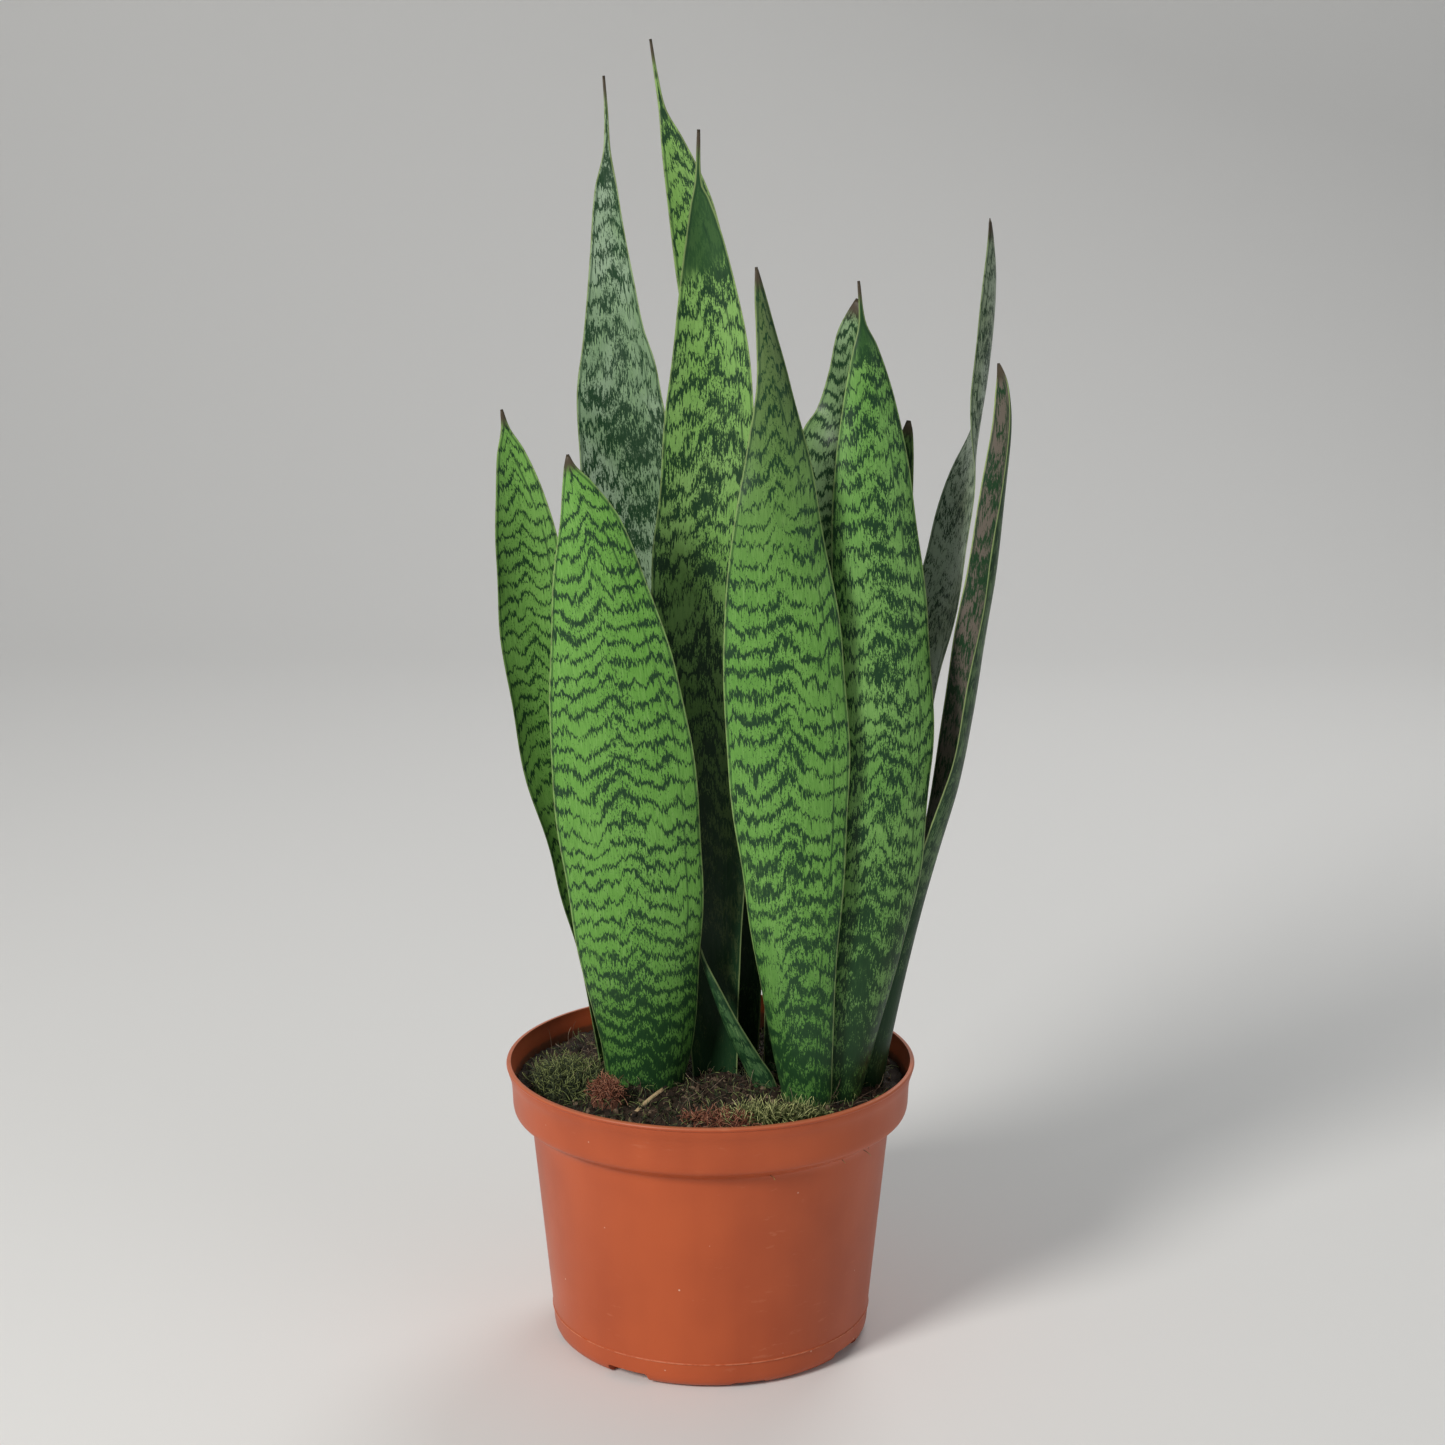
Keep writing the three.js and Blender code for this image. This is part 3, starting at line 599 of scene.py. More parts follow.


# %% [markdown]
# ## Leaves: the pattern
#
# Three effects are shared by all leaves, each a node group with its own values for each leaf.
#
# The bands are a wave up the leaf. Its phase is bent by a slow noise, so the bands wander, lifted
# at the midrib, and torn by a noise that is fine across the leaf and long along it, which is what
# the fibres do. Speckle is the same fine noise, cut where it is high. It thickens at the foot.
# The edges group finds the thin pale margin and the crease that runs inside one margin, where the
# leaf was pressed while it was still rolled up. The crease gets a dark line of painted shade, for
# its furrow, which the blade doesn't model.

# %% Shader groups for leaves


def leaf_noise(tree, given, across_scale, along_scale, shift=0.0, detail=2.0, roughness=0.5):
    """Noise laid out flat on the leaf, with a scale across it and one along it, for each metre."""
    place = combine(
        tree, times(tree, given["Across"], across_scale), times(tree, given["Along"], along_scale),
        calc(tree, "ADD", given["Seed"], shift))
    return noise(tree, place, 1.0, detail, roughness)


def make_bands_group():
    tree, given, output = new_tree("leaf bands", "ShaderNodeTree", {
        "Across": ("Float", 0.0), "Along": ("Float", 0.0), "Half": ("Float", 0.03),
        "Share": ("Float", 0.5), "Spacing": ("Float", 9 * MM), "Width": ("Float", 0.3),
        "Wander": ("Float", 1.0), "Peak": ("Float", 0.5), "Tear": ("Float", 0.35),
        "Blotch": ("Float", 0.3), "Speckle": ("Float", 1.0), "Seed": ("Float", 0.0),
    }, {"Bands": "Float", "Speckle": "Float", "Fibre": "Float", "Drift": "Float"})
    across, wander, tear = given["Across"], given["Wander"], given["Tear"]
    fibre = swing(tree, leaf_noise(tree, given, 1500.0, 150.0, 0.0, 3.0, 0.65))
    tooth = swing(tree, leaf_noise(tree, given, 520.0, 95.0, 3.7, 2.0, 0.6))
    drift = leaf_noise(tree, given, 38.0, 24.0, 7.3)
    slow = swing(tree, leaf_noise(tree, given, 55.0, 11.0, 11.9, 1.0, 0.4))
    patch = swing(tree, leaf_noise(tree, given, 75.0, 42.0, 19.1, 2.0, 0.6))
    grain = leaf_noise(tree, given, 1700.0, 620.0, 23.0, 3.0, 0.7)
    side = calc(tree, "DIVIDE", across, given["Half"])
    rib = calc(tree, "EXPONENT", times(tree, side, side, -11.0))
    side_wave = calc(tree, "SINE", add_up(tree, times(tree, drift, 9.0), (across, 560.0)))

    # Dark bands: where the wave's phase is near a whole number.
    phase = add_up(
        tree, calc(tree, "DIVIDE", given["Along"], given["Spacing"]), (slow, wander),
        (swing(tree, drift), times(tree, wander, 0.8)), (rib, times(tree, given["Peak"], -1.0)),
        (side_wave, 0.13), (tooth, times(tree, tear, 0.8)), (fibre, tear))
    distance = calc(tree, "ABSOLUTE", swing(tree, calc(tree, "FRACT", phase)))
    width = add_up(tree, given["Width"], (patch, given["Blotch"]), (fibre, 0.10))
    bands = ramp(tree, calc(tree, "SUBTRACT", width, distance), -0.03, 0.06)
    wide = ramp(tree, calc(tree, "SUBTRACT", times(tree, width, 1.9), distance), -0.1, 0.25)

    # Speckle: densest at the foot, on the bands, along the rib and in patches.
    foot = ramp(tree, given["Share"], 0.40, 0.08)
    dense = times(tree, foot, calc(tree, "MULTIPLY_ADD", wide, 0.15, 0.09))
    dense = add_up(tree, dense, (rib, 0.05), (wide, 0.05), (patch, 0.10))
    level = calc(tree, "SUBTRACT", 0.625, times(tree, dense, given["Speckle"]))
    speckle = ramp(tree, calc(tree, "SUBTRACT", grain, level), -0.015, 0.03)
    bands = times(tree, bands, calc(tree, "MULTIPLY_ADD", foot, -0.7, 1.0))
    return finish_tree(
        tree, output, {"Bands": bands, "Speckle": speckle, "Fibre": fibre, "Drift": drift})


def make_edges_group():
    tree, given, output = new_tree("leaf edges", "ShaderNodeTree", {
        "Across": ("Float", 0.0), "Along": ("Float", 0.0), "Rim": ("Float", 0.01),
        "Margin Width": ("Float", 0.7 * MM), "Crease Place": ("Float", 7 * MM),
        "Crease Side": ("Float", 1.0), "Seed": ("Float", 0.0),
    }, {"Margin": "Float", "Line": "Float", "Crease": "Float"})
    along, rim, margin_width = given["Along"], given["Rim"], given["Margin Width"]
    rough = swing(tree, leaf_noise(tree, given, 300.0, 130.0))
    near = add_up(tree, rim, (rough, 0.25 * MM))
    margin = ramp(tree, near, margin_width, times(tree, margin_width, 0.55))
    off_line = calc(tree, "SUBTRACT", near, times(tree, margin_width, 1.7))
    line = ramp(tree, calc(tree, "ABSOLUTE", off_line), 0.7 * MM, 0.2 * MM)
    # The crease: a dark line of painted shade for its furrow. It wanders a little and has gaps.
    sway = swing(tree, leaf_noise(tree, given, 0.0, 9.0))
    off_crease = calc(
        tree, "SUBTRACT", add_up(tree, rim, (sway, 2.5 * MM)), given["Crease Place"])
    on_side = calc(
        tree, "GREATER_THAN", times(tree, given["Across"], given["Crease Side"]), 0.0)
    gaps = noise(tree, combine(tree, 3.0, times(tree, along, 70.0), given["Seed"]))
    crease = times(
        tree, ramp(tree, calc(tree, "ABSOLUTE", off_crease), 0.65 * MM, 0.2 * MM),
        on_side, ramp(tree, gaps, 0.35, 0.55))
    return finish_tree(tree, output, {"Margin": margin, "Line": line, "Crease": crease})


def make_skin_group():
    tree, given, output = new_tree("leaf skin", "ShaderNodeTree", {
        "Across": ("Float", 0.0), "Along": ("Float", 0.0), "Roughness": ("Float", 0.36),
        "Seed": ("Float", 0.0),
    }, {"Height": "Float", "Roughness": "Float"})
    ribs = leaf_noise(tree, given, 900.0, 25.0)
    pits = leaf_noise(tree, given, 2600.0, 1700.0)
    cloud = swing(tree, leaf_noise(tree, given, 90.0, 45.0, detail=3.0))
    return finish_tree(tree, output, {
        "Height": add_up(tree, ribs, (pits, 0.35)),
        "Roughness": calc(tree, "MULTIPLY_ADD", cloud, 0.09, given["Roughness"], clamp=True),
    })


bands_group = make_bands_group()
edges_group = make_edges_group()
skin_group = make_skin_group()
print("leaf groups:", bands_group.name, edges_group.name, skin_group.name, sep=", ")

# %% [markdown]
# A leaf's material mixes colours in the order in which they lie on the leaf: two greens that
# drift into each other, painted shade at the foot, deeper painted shade low on the leaves in the
# middle of the clump (which also stands for their denser pattern there), the dark bands and
# speckle, a grey bloom of wax, the solid dark cap that some leaves carry, the crease as a dark line
# of painted shade, the margin, and the dry brown needle.
#
# Each leaf has its own look. `light` and `second` are its greens, `spacing` and `crease` are in
# millimetres, and a leaf that leaves a value out takes it from `PLAIN_LEAF`. `cap` is the share of
# the leaf's length where the cap starts, so a cap that starts past the tip is no cap.

# %% Leaf materials
PLAIN_LEAF = dict(side=1.0, cap=2.0, bloom=0.0, deep_shade=0.0, dusk=0.0, margin=0.6, inside=None)
LEAF_LOOKS = {
    "leaf_front_left": dict(
        light=(0.100, 0.276, 0.036), second=(0.152, 0.344, 0.068), spacing=9.0, width=0.27,
        wander=0.9, peak=0.8, tear=0.6, blotch=0.25, speckle=1.2, crease=8.0, side=-1.0),
    "leaf_front_centre": dict(
        light=(0.088, 0.248, 0.036), second=(0.152, 0.336, 0.068), spacing=10.5, width=0.27,
        wander=1.1, peak=0.6, tear=0.65, blotch=0.4, speckle=1.2, crease=7.5, dusk=0.75, side=-1.0),
    "leaf_front_right": dict(
        light=(0.095, 0.260, 0.040), second=(0.20, 0.37, 0.11), spacing=10.5, width=0.36,
        wander=1.2, peak=0.4, tear=0.85, blotch=0.42, speckle=1.6, cap=0.915, crease=8.0,
        side=-1.0),
    "leaf_centre": dict(
        light=(0.136, 0.320, 0.048), second=(0.248, 0.416, 0.136), spacing=13.0, width=0.36,
        wander=1.1, peak=0.6, tear=0.85, blotch=0.42, speckle=1.8, cap=0.865, crease=7.0,
        deep_shade=0.85),
    "leaf_tallest": dict(
        light=(0.136, 0.304, 0.048), second=(0.216, 0.376, 0.112), spacing=11.0, width=0.38,
        wander=1.2, peak=0.3, tear=0.85, blotch=0.55, speckle=1.5, crease=6.0, deep_shade=0.7),
    "leaf_back_left": dict(
        light=(0.120, 0.216, 0.096), second=(0.208, 0.312, 0.184), spacing=12.0, width=0.38,
        wander=1.1, peak=0.2, tear=0.95, blotch=0.42, speckle=2.0, bloom=0.18, crease=7.0,
        deep_shade=0.8),
    "leaf_far_left": dict(
        light=(0.120, 0.304, 0.048), second=(0.176, 0.368, 0.080), spacing=8.0, width=0.26,
        wander=0.9, peak=0.5, tear=0.6, blotch=0.22, speckle=0.9, crease=6.0),
    "leaf_behind_right": dict(
        light=(0.128, 0.240, 0.080), second=(0.200, 0.320, 0.136), spacing=7.0, width=0.30,
        wander=0.9, peak=0.3, tear=0.6, blotch=0.3, speckle=1.2, bloom=0.12, crease=6.0),
    "leaf_hidden_tip": dict(
        light=(0.080, 0.160, 0.044), second=(0.128, 0.208, 0.072), spacing=8.0, width=0.4,
        wander=1.0, peak=0.3, tear=0.6, blotch=0.3, speckle=1.5, crease=5.0),
    # The ribbon is pale and streaky, and its greens are lighter still. That extra lightness is
    # painted light, to lift the shade on the side that it shows.
    "leaf_right_ribbon": dict(
        light=(0.22, 0.29, 0.17), second=(0.38, 0.44, 0.32), spacing=9.0, width=0.26, wander=1.3,
        peak=0.2, tear=1.1, blotch=0.45, speckle=1.4, bloom=0.3, crease=5.0),
    "leaf_right_channel": dict(
        light=(0.056, 0.112, 0.040), second=(0.088, 0.160, 0.064), spacing=13.0, width=0.4,
        wander=1.0, peak=0.2, tear=1.0, blotch=0.6, speckle=1.8, crease=5.0,
        inside=(0.125, 0.105, 0.085), margin=1.0),
    "leaf_young": dict(
        light=(0.036, 0.096, 0.032), second=(0.052, 0.128, 0.044), spacing=9.0, width=0.3,
        wander=0.8, peak=0.2, tear=0.6, blotch=0.3, speckle=1.4, crease=3.0),
}
DARK_GREEN = (0.010, 0.040, 0.014)
# A darker green, for the fibre streaks and for the painted shade at the foot.
SHADE_GREEN = (0.030, 0.090, 0.028)
CAP_GREEN = (0.022, 0.070, 0.020)
PALE_GREEN = (0.27, 0.45, 0.15)
# The colour of the deeper painted shade low on the leaves in the middle of the clump.
DEEP_SHADE_GREEN = (0.030, 0.045, 0.018)
DUSK = (0.075, 0.085, 0.045)
MARGIN_COLOUR = (0.26, 0.34, 0.13)
BLOOM_COLOUR = (0.42, 0.50, 0.42)
NEEDLE_COLOUR = (0.065, 0.050, 0.032)
NEEDLE_STARTS, NEEDLE_FULL = 0.970, 0.990
CAP_EDGE = 0.012
MARGIN_WIDTH = 0.75
LEAF_ROUGHNESS = 0.40
LEAF_SPECULAR = 0.2
LEAF_BUMP = 0.12


def group(tree, node_group, values):
    return put(tree, "ShaderNodeGroup", values, node_tree=node_group).outputs


def blend(tree, factor, below, above):
    """One colour over another: factor 0 shows the colour below, 1 the colour above."""
    below, above = (
        value if isinstance(value, bpy.types.NodeSocket) else (*value, 1)
        for value in (below, above))
    return put(tree, "ShaderNodeMix", {0: factor, 6: below, 7: above}, data_type="RGBA").outputs[2]


def paint(tree, base, *coats):
    """Lays coats (mask, strength, colour) over the base in turn, but none of strength 0."""
    for mask, strength, above in coats:
        if strength:
            base = blend(tree, times(tree, mask, strength), base, above)
    return base


def attributes(tree, *labels):
    return [
        put(tree, "ShaderNodeAttribute", attribute_name=label).outputs["Fac"] for label in labels
    ]


def dress(tree, shader, base, roughness, specular, height, distance):
    """Joins a base colour, a roughness and a bump to the shader."""
    bump = put(tree, "ShaderNodeBump", {"Height": height, "Distance": distance, "Strength": 1.0})
    tree.links.new(base, shader.inputs["Base Color"])
    tree.links.new(roughness, shader.inputs["Roughness"])
    tree.links.new(bump.outputs[0], shader.inputs["Normal"])
    shader.inputs["Specular IOR Level"].default_value = specular


def leaf_material(name, look, seed):
    material, tree, shader = new_material(
        name.replace("leaf_", "skin of the ").replace("_", " "))
    across, along, rim, share, half, face = attributes(
        tree, "across", "along", "rim", "share", "half", "face")
    bands = group(tree, bands_group, {
        "Across": across, "Along": along, "Half": half, "Share": share, "Seed": seed,
        "Spacing": look["spacing"] * MM, "Width": look["width"], "Wander": look["wander"],
        "Peak": look["peak"], "Tear": look["tear"], "Blotch": look["blotch"],
        "Speckle": look["speckle"],
    })
    edges = group(tree, edges_group, {
        "Across": across, "Along": along, "Rim": rim, "Seed": seed, "Crease Side": look["side"],
        "Margin Width": MARGIN_WIDTH * MM, "Crease Place": look["crease"] * MM,
    })
    skin = group(tree, skin_group, {
        "Across": across, "Along": along, "Roughness": LEAF_ROUGHNESS, "Seed": seed,
    })
    fibre, drift = bands["Fibre"], bands["Drift"]
    torn = add_up(tree, share, (fibre, 0.02), (swing(tree, drift), 0.03))
    cap_start = look["cap"]

    base = blend(tree, drift, look["light"], look["second"])
    base = paint(
        tree, base, (ramp(tree, fibre, -0.1, 0.6), 0.35, SHADE_GREEN),
        (ramp(tree, fibre, 0.05, -0.5), 0.30, PALE_GREEN))
    if look["inside"]:
        base = blend(tree, ramp(tree, face, -0.1, 0.1), base, look["inside"])
    base = paint(
        tree, base,
        (ramp(tree, drift, 0.3, 0.7), look["bloom"] * 2, BLOOM_COLOUR),
        # Painted shade: every leaf darkens towards its foot, down among the other leaves.
        (ramp(tree, share, 0.36, 0.05), 0.5, SHADE_GREEN),
        # Painted shade low on the leaves in the middle of the clump, far in among the others; it
        # also stands for their denser pattern there.
        (ramp(tree, share, 0.58, 0.25), look["deep_shade"], DEEP_SHADE_GREEN),
        (ramp(tree, share, 0.58, 0.97), look["dusk"], DUSK),
        (bands["Speckle"], 0.92, DARK_GREEN),
        (bands["Bands"], 0.97, DARK_GREEN),
        (ramp(tree, torn, cap_start - CAP_EDGE, cap_start + CAP_EDGE), 0.92, CAP_GREEN),
        # Painted shade: the dark line of the crease's furrow.
        (edges["Crease"], 0.7, DARK_GREEN),
        (edges["Line"], 0.6, DARK_GREEN),
        (edges["Margin"], look["margin"], MARGIN_COLOUR),
        (ramp(tree, share, NEEDLE_STARTS, NEEDLE_FULL), 1.0, NEEDLE_COLOUR))
    dress(tree, shader, base, skin["Roughness"], LEAF_SPECULAR, skin["Height"], LEAF_BUMP * MM)
    return material


# %% [markdown]
# All twelve leaves are grown by the one tree. The young leaf is thinner and has no ripple yet.
# Seeds are spread apart by a fixed stride, so no two leaves share a pattern or a lump.

# %% Grow the leaves
SHAPE_STRIDE, PATTERN_STRIDE = 5.3, 3.7
GROWN_LEAF = {"Foot Thickness": 4.2 * MM, "Ripple": 0.8 * MM, "Unevenness": 0.55 * MM}
YOUNG_LEAF = {"Foot Thickness": 3.0 * MM, "Ripple": 0.0, "Unevenness": 0.2 * MM}


def grow_leaf(name, number):
    spine, length = make_spine(name, LEAF_ROWS[name])
    leaf = run_tree(spine, blade_tree, (YOUNG_LEAF if name == "leaf_young" else GROWN_LEAF) | {
        "Tip Thickness": 1.1 * MM, "Margin Thickness": 1.1 * MM, "Seed": number * SHAPE_STRIDE,
        "Skin": leaf_material(name, PLAIN_LEAF | LEAF_LOOKS[name], number * PATTERN_STRIDE),
    })
    keep(leaf, name)
    print(f"    {length / MM:.0f} mm long")


for number, name in enumerate(LEAF_ROWS, start=1):
    grow_leaf(name, number)

# %% [markdown]
# ## The pot
#
# A nursery pot is blown or pressed from thin orange plastic in one shot: a tapered wall, a step out
# to a wide band that fingers and stacking need, a thin rounded lip, and a fine raised ring low on
# the wall where the two halves of the mould met. A turned profile makes all of it. Each corner of
# the profile has its own radius, because light runs along every rounded edge of moulded plastic.
#
# Round the foot, wide and narrow recesses are pressed in by turns, with a slot in the roof of each,
# so that water can run out on a flat shelf. They are cut out of the turned pot, and they are cut a
# wall's thickness larger out of its hollow, so that the plastic wraps round each one.

# %% Pot profile, in millimetres
POT_HEIGHT = 133
LIP_RADIUS = 95
WALL = 1.5
BAND_HEIGHT = 21.5
BAND_RADIUS = LIP_RADIUS - 2.9
STEP_DEPTH = 8.6
STEP_HEIGHT = 8
FOOT_RADIUS = 74.2
FOOT_CORNER = 8
PARTING_HEIGHT = 12.7
PARTING_RAISE = 0.4
PARTING_HALF_FOOT = 0.5
PARTING_HALF_CREST = 0.15
LIP_BEAD = 1.0
POT_SEGMENTS = 240
BAND_BOTTOM = POT_HEIGHT - BAND_HEIGHT
BODY_TOP = BAND_BOTTOM - STEP_HEIGHT
BODY_TOP_RADIUS = BAND_RADIUS - STEP_DEPTH


def body_radius(height):
    slope = (BODY_TOP_RADIUS - FOOT_RADIUS) / (BODY_TOP - FOOT_CORNER)
    return FOOT_RADIUS + slope * (height - FOOT_CORNER)


def rounded(corners, steps=7):
    """A profile whose corners (radius, height, rounding) are eased by quadratic curves."""
    outline = []
    for index, (r, z, rounding) in enumerate(corners):
        here = np.array((r, z), float)
        if rounding == 0:
            outline.append(here)
            continue
        before, after = (np.array(corners[index + side][:2], float) for side in (-1, 1))
        into = here + (before - here) * min(0.5, rounding / np.linalg.norm(before - here))
        out = here + (after - here) * min(0.5, rounding / np.linalg.norm(after - here))
        for t in np.linspace(0, 1, steps):
            outline.append((1 - t) ** 2 * into + 2 * t * (1 - t) * here + t**2 * out)
    return outline


def wall_corners(inset):
    """The wall from the axis up to the band, the given distance inside the pot's outside."""
    parting = []
    if inset == 0:
        parting = [
            (body_radius(PARTING_HEIGHT + side) + raise_by, PARTING_HEIGHT + offset, 0)
            for side, offset, raise_by in (
                (-PARTING_HALF_FOOT, -PARTING_HALF_FOOT, 0),
                (0, -PARTING_HALF_CREST, PARTING_RAISE),
                (0, PARTING_HALF_CREST, PARTING_RAISE),
                (PARTING_HALF_FOOT, PARTING_HALF_FOOT, 0),
            )
        ]
    rise = 0.7 * inset
    return [
        (0, inset, 0), (body_radius(0) + 0.4 - inset, inset, FOOT_CORNER - inset), *parting,
        (body_radius(BODY_TOP) - inset, BODY_TOP + rise, 2),
        (BODY_TOP_RADIUS + 0.12 * STEP_DEPTH - inset, BODY_TOP + 0.30 * STEP_HEIGHT + rise, 3),
        (BODY_TOP_RADIUS + 0.90 * STEP_DEPTH - inset, BODY_TOP + 0.78 * STEP_HEIGHT + rise, 3),
        (BAND_RADIUS - inset, BAND_BOTTOM + 1 + rise, 2),
        (BAND_RADIUS + 0.5 - inset, POT_HEIGHT - 0.4 * BAND_HEIGHT, 5),
    ]


def bead_points():
    middle = np.array((LIP_RADIUS - LIP_BEAD, POT_HEIGHT - LIP_BEAD))
    turns = np.radians(np.linspace(-70, 180, 14))
    return [middle + LIP_BEAD * np.array((math.cos(turn), math.sin(turn))) for turn in turns]


def turned_ring(radius, height, segments):
    turns = np.arange(segments) * 2 * math.pi / segments
    x, y = radius * np.sin(turns), -radius * np.cos(turns)
    return np.stack([x, y, np.broadcast_to(height, x.shape)], 1).tolist()


def lathe(name, outline):
    """Turns a profile that starts and ends on the axis into a closed solid."""
    points, rings = [], []
    for r, z in outline:
        on_axis = r < 1e-6
        first = len(points)
        points += [(0, 0, z)] if on_axis else turned_ring(r, z, POT_SEGMENTS)
        rings.append([first + (0 if on_axis else i) for i in range(POT_SEGMENTS)])
    faces = []
    for low, high in zip(rings, rings[1:]):
        for i in range(POT_SEGMENTS):
            j = (i + 1) % POT_SEGMENTS
            corners = [low[i], low[j], high[j], high[i]]
            faces.append([
                corner for place, corner in enumerate(corners) if corner != corners[place - 1]
            ])
    return new_object(name, points, faces, MM)


lip_neck = (LIP_RADIUS - LIP_BEAD * 0.7, POT_HEIGHT - 3.4 * LIP_BEAD, 0)
lip_inside = LIP_RADIUS - 2 * LIP_BEAD
outside = rounded([*wall_corners(0), lip_neck])
outside += [*bead_points()[:-5], (0, POT_HEIGHT)]
inside = rounded([*wall_corners(WALL), (lip_inside, POT_HEIGHT - LIP_BEAD, 0)])
inside += [(lip_inside, POT_HEIGHT + 1), (0, POT_HEIGHT + 1)]
pot = lathe("pot_shell", outside)
hollow = lathe("pot_hollow", inside)
print("profile points:", len(outside), "outside,", len(inside), "inside")

# %% [markdown]
# The recesses could be modelled face by face, but a real mould has blocks that leave them, so
# blocks cut them here too, with exact booleans. Each block has rounded upper edges. The cuts run in
# this order: recesses from the pot, their walls from the hollow, the hollow from the pot, and last
# the drain slots through the roof of each recess.

# %% Recesses and drain slots
WIDE_RECESS = dict(width=21, height=5, depth=10, turn=-31)
NARROW_RECESS = dict(width=16, height=2.6, depth=8, turn=14)
RECESSES_OF_EACH_KIND = 4
RECESS_ROUNDING = 1.2
DRAIN_WIDTH = 9
DRAIN_DEPTH = 3.5
DRAIN_ROUNDING = 0.8
DRAIN_FROM = 1.0
ARC_STEPS = 5


def block_outline(width, bottom, top, rounding):
    """Across and height of a block whose two top edges are rounded."""
    outline = [(-width / 2, bottom)]
    for side in (-1, 1):
        for number in range(ARC_STEPS + 1):
            part = number / ARC_STEPS
            angle = math.pi / 2 * (part if side < 0 else 1 - part)
            outline.append((
                side * (width / 2 - rounding + rounding * math.cos(angle)),
                top - rounding + rounding * math.sin(angle),
            ))
    return [*outline, (width / 2, bottom)]


def blocks(name, kinds):
    """Separate blocks round the foot, in one mesh. kinds: (recess, inner, outer, outline)."""
    points, faces = [], []
    for recess, inner, outer, outline in kinds:
        count = len(outline)
        for index in range(RECESSES_OF_EACH_KIND):
            turn = math.radians(recess["turn"] + 360 / RECESSES_OF_EACH_KIND * index)
            sine, cosine = math.sin(turn), math.cos(turn)
            first = len(points)
            points += [
                (x * cosine + r * sine, x * sine - r * cosine, z)
                for r in (outer, inner) for x, z in outline
            ]
            faces.append([first + i for i in reversed(range(count))])
            faces.append([first + count + i for i in range(count)])
            for i in range(count):
                j = (i + 1) % count
                faces.append([first + i, first + j, first + count + j, first + count + i])
    return new_object(name, points, faces, MM)


def recess_blocks(name, grow):
    return blocks(name, [(
        recess, FOOT_RADIUS - recess["depth"] - grow, FOOT_RADIUS + FOOT_CORNER,
        block_outline(
            recess["width"] + 2 * grow, -FOOT_CORNER, recess["height"] + grow,
            RECESS_ROUNDING + grow),
    ) for recess in (WIDE_RECESS, NARROW_RECESS)])


def drain_blocks(name):
    outline = block_outline(DRAIN_WIDTH, DRAIN_FROM, 2 * FOOT_CORNER, DRAIN_ROUNDING)
    kinds = []
    for recess in (WIDE_RECESS, NARROW_RECESS):
        inner = FOOT_RADIUS - recess["depth"] + WALL
        kinds.append((recess, inner, inner + DRAIN_DEPTH, outline))
    return blocks(name, kinds)


def carve(thing, cutter):
    modifier = thing.modifiers.new("carve", "BOOLEAN")
    modifier.object = cutter
    modifier.operation = "DIFFERENCE"
    modifier.solver = "EXACT"
    flatten(thing)
    bpy.data.objects.remove(cutter)


carve(pot, recess_blocks("recesses", 0))
carve(hollow, recess_blocks("recess walls", WALL))
carve(pot, hollow)
carve(pot, drain_blocks("drains"))
pot.data.shade_smooth()
pot.data.set_sharp_from_angle(angle=math.radians(32))
print("pot:", triangles(pot), "triangles")

# %% [markdown]
# The plastic is satin and slightly see-through to its own fillers, so its orange is never flat: the
# colour drifts slowly, with faint streaks where the melt ran up the mould. The skin has a fine
# orange-peel grain, some scuffs on the band, pale specks of dust, and a pale worn parting ring.
# A thin painted highlight runs round the top of the lip. Splashes of peat stain the inside of the
# wall above the soil.

# %% Pot material
POT_ORANGE = (0.47, 0.092, 0.028)
POT_DEEP = (0.33, 0.058, 0.019)
POT_PALE = (0.66, 0.27, 0.15)
DUST = (0.72, 0.52, 0.40)
PEAT_STAIN = (0.10, 0.05, 0.03)
POT_ROUGHNESS = 0.40
POT_SPECULAR = 0.32
POT_BUMP = 0.035


def object_place(tree):
    return put(tree, "ShaderNodeTexCoord").outputs["Object"]


def make_plastic_group():
    tree, given, output = new_tree("moulded plastic", "ShaderNodeTree", {
        "Place": ("Vector", None), "Colour": ("Color", (0.5, 0.1, 0.03, 1)),
        "Deep": ("Color", (0.35, 0.07, 0.02, 1)), "Pale": ("Color", (0.6, 0.3, 0.2, 1)),
        "Dust": ("Color", (0.7, 0.5, 0.4, 1)), "Roughness": ("Float", 0.4),
    }, {"Colour": "Color", "Roughness": "Float", "Height": "Float"})
    place = given["Place"]

    def spread(scale, stretch=(1, 1, 1), detail=2.0):
        return noise(tree, vector(tree, "MULTIPLY", place, stretch), scale, detail, 0.55)

    cloud = spread(14.0, detail=3.0)
    streak = spread(60.0, (1, 1, 0.06))
    mottle = add_up(tree, times(tree, cloud, 0.78), (streak, 0.22))
    mottled = blend(tree, ramp(tree, mottle, 0.35, 0.7), given["Colour"], given["Deep"])
    scuff = times(
        tree, ramp(tree, spread(90.0, (1, 1, 3.5), 4.0), 0.62, 0.72),
        ramp(tree, cloud, 0.45, 0.65))
    speck = put(tree, "ShaderNodeTexVoronoi", {"Vector": place, "Scale": 150.0, "Randomness": 1.0})
    few = ramp(tree, parts(tree, speck.outputs["Color"])[0], 0.86, 0.9)
    dot = times(tree, ramp(tree, speck.outputs["Distance"], 0.085, 0.04), few)
    base = paint(
        tree, blend(tree, 0.6, given["Colour"], mottled),
        (scuff, 0.22, given["Pale"]), (dot, 0.7, given["Dust"]))
    roughness = add_up(tree, given["Roughness"], (swing(tree, cloud), 0.12), (scuff, 0.12))
    roughness = calc(tree, "MULTIPLY_ADD", dot, 0.3, roughness, clamp=True)
    height = add_up(tree, spread(1400.0), (spread(220.0), 1.2))
    return finish_tree(tree, output, {"Colour": base, "Roughness": roughness, "Height": height})


plastic_group = make_plastic_group()


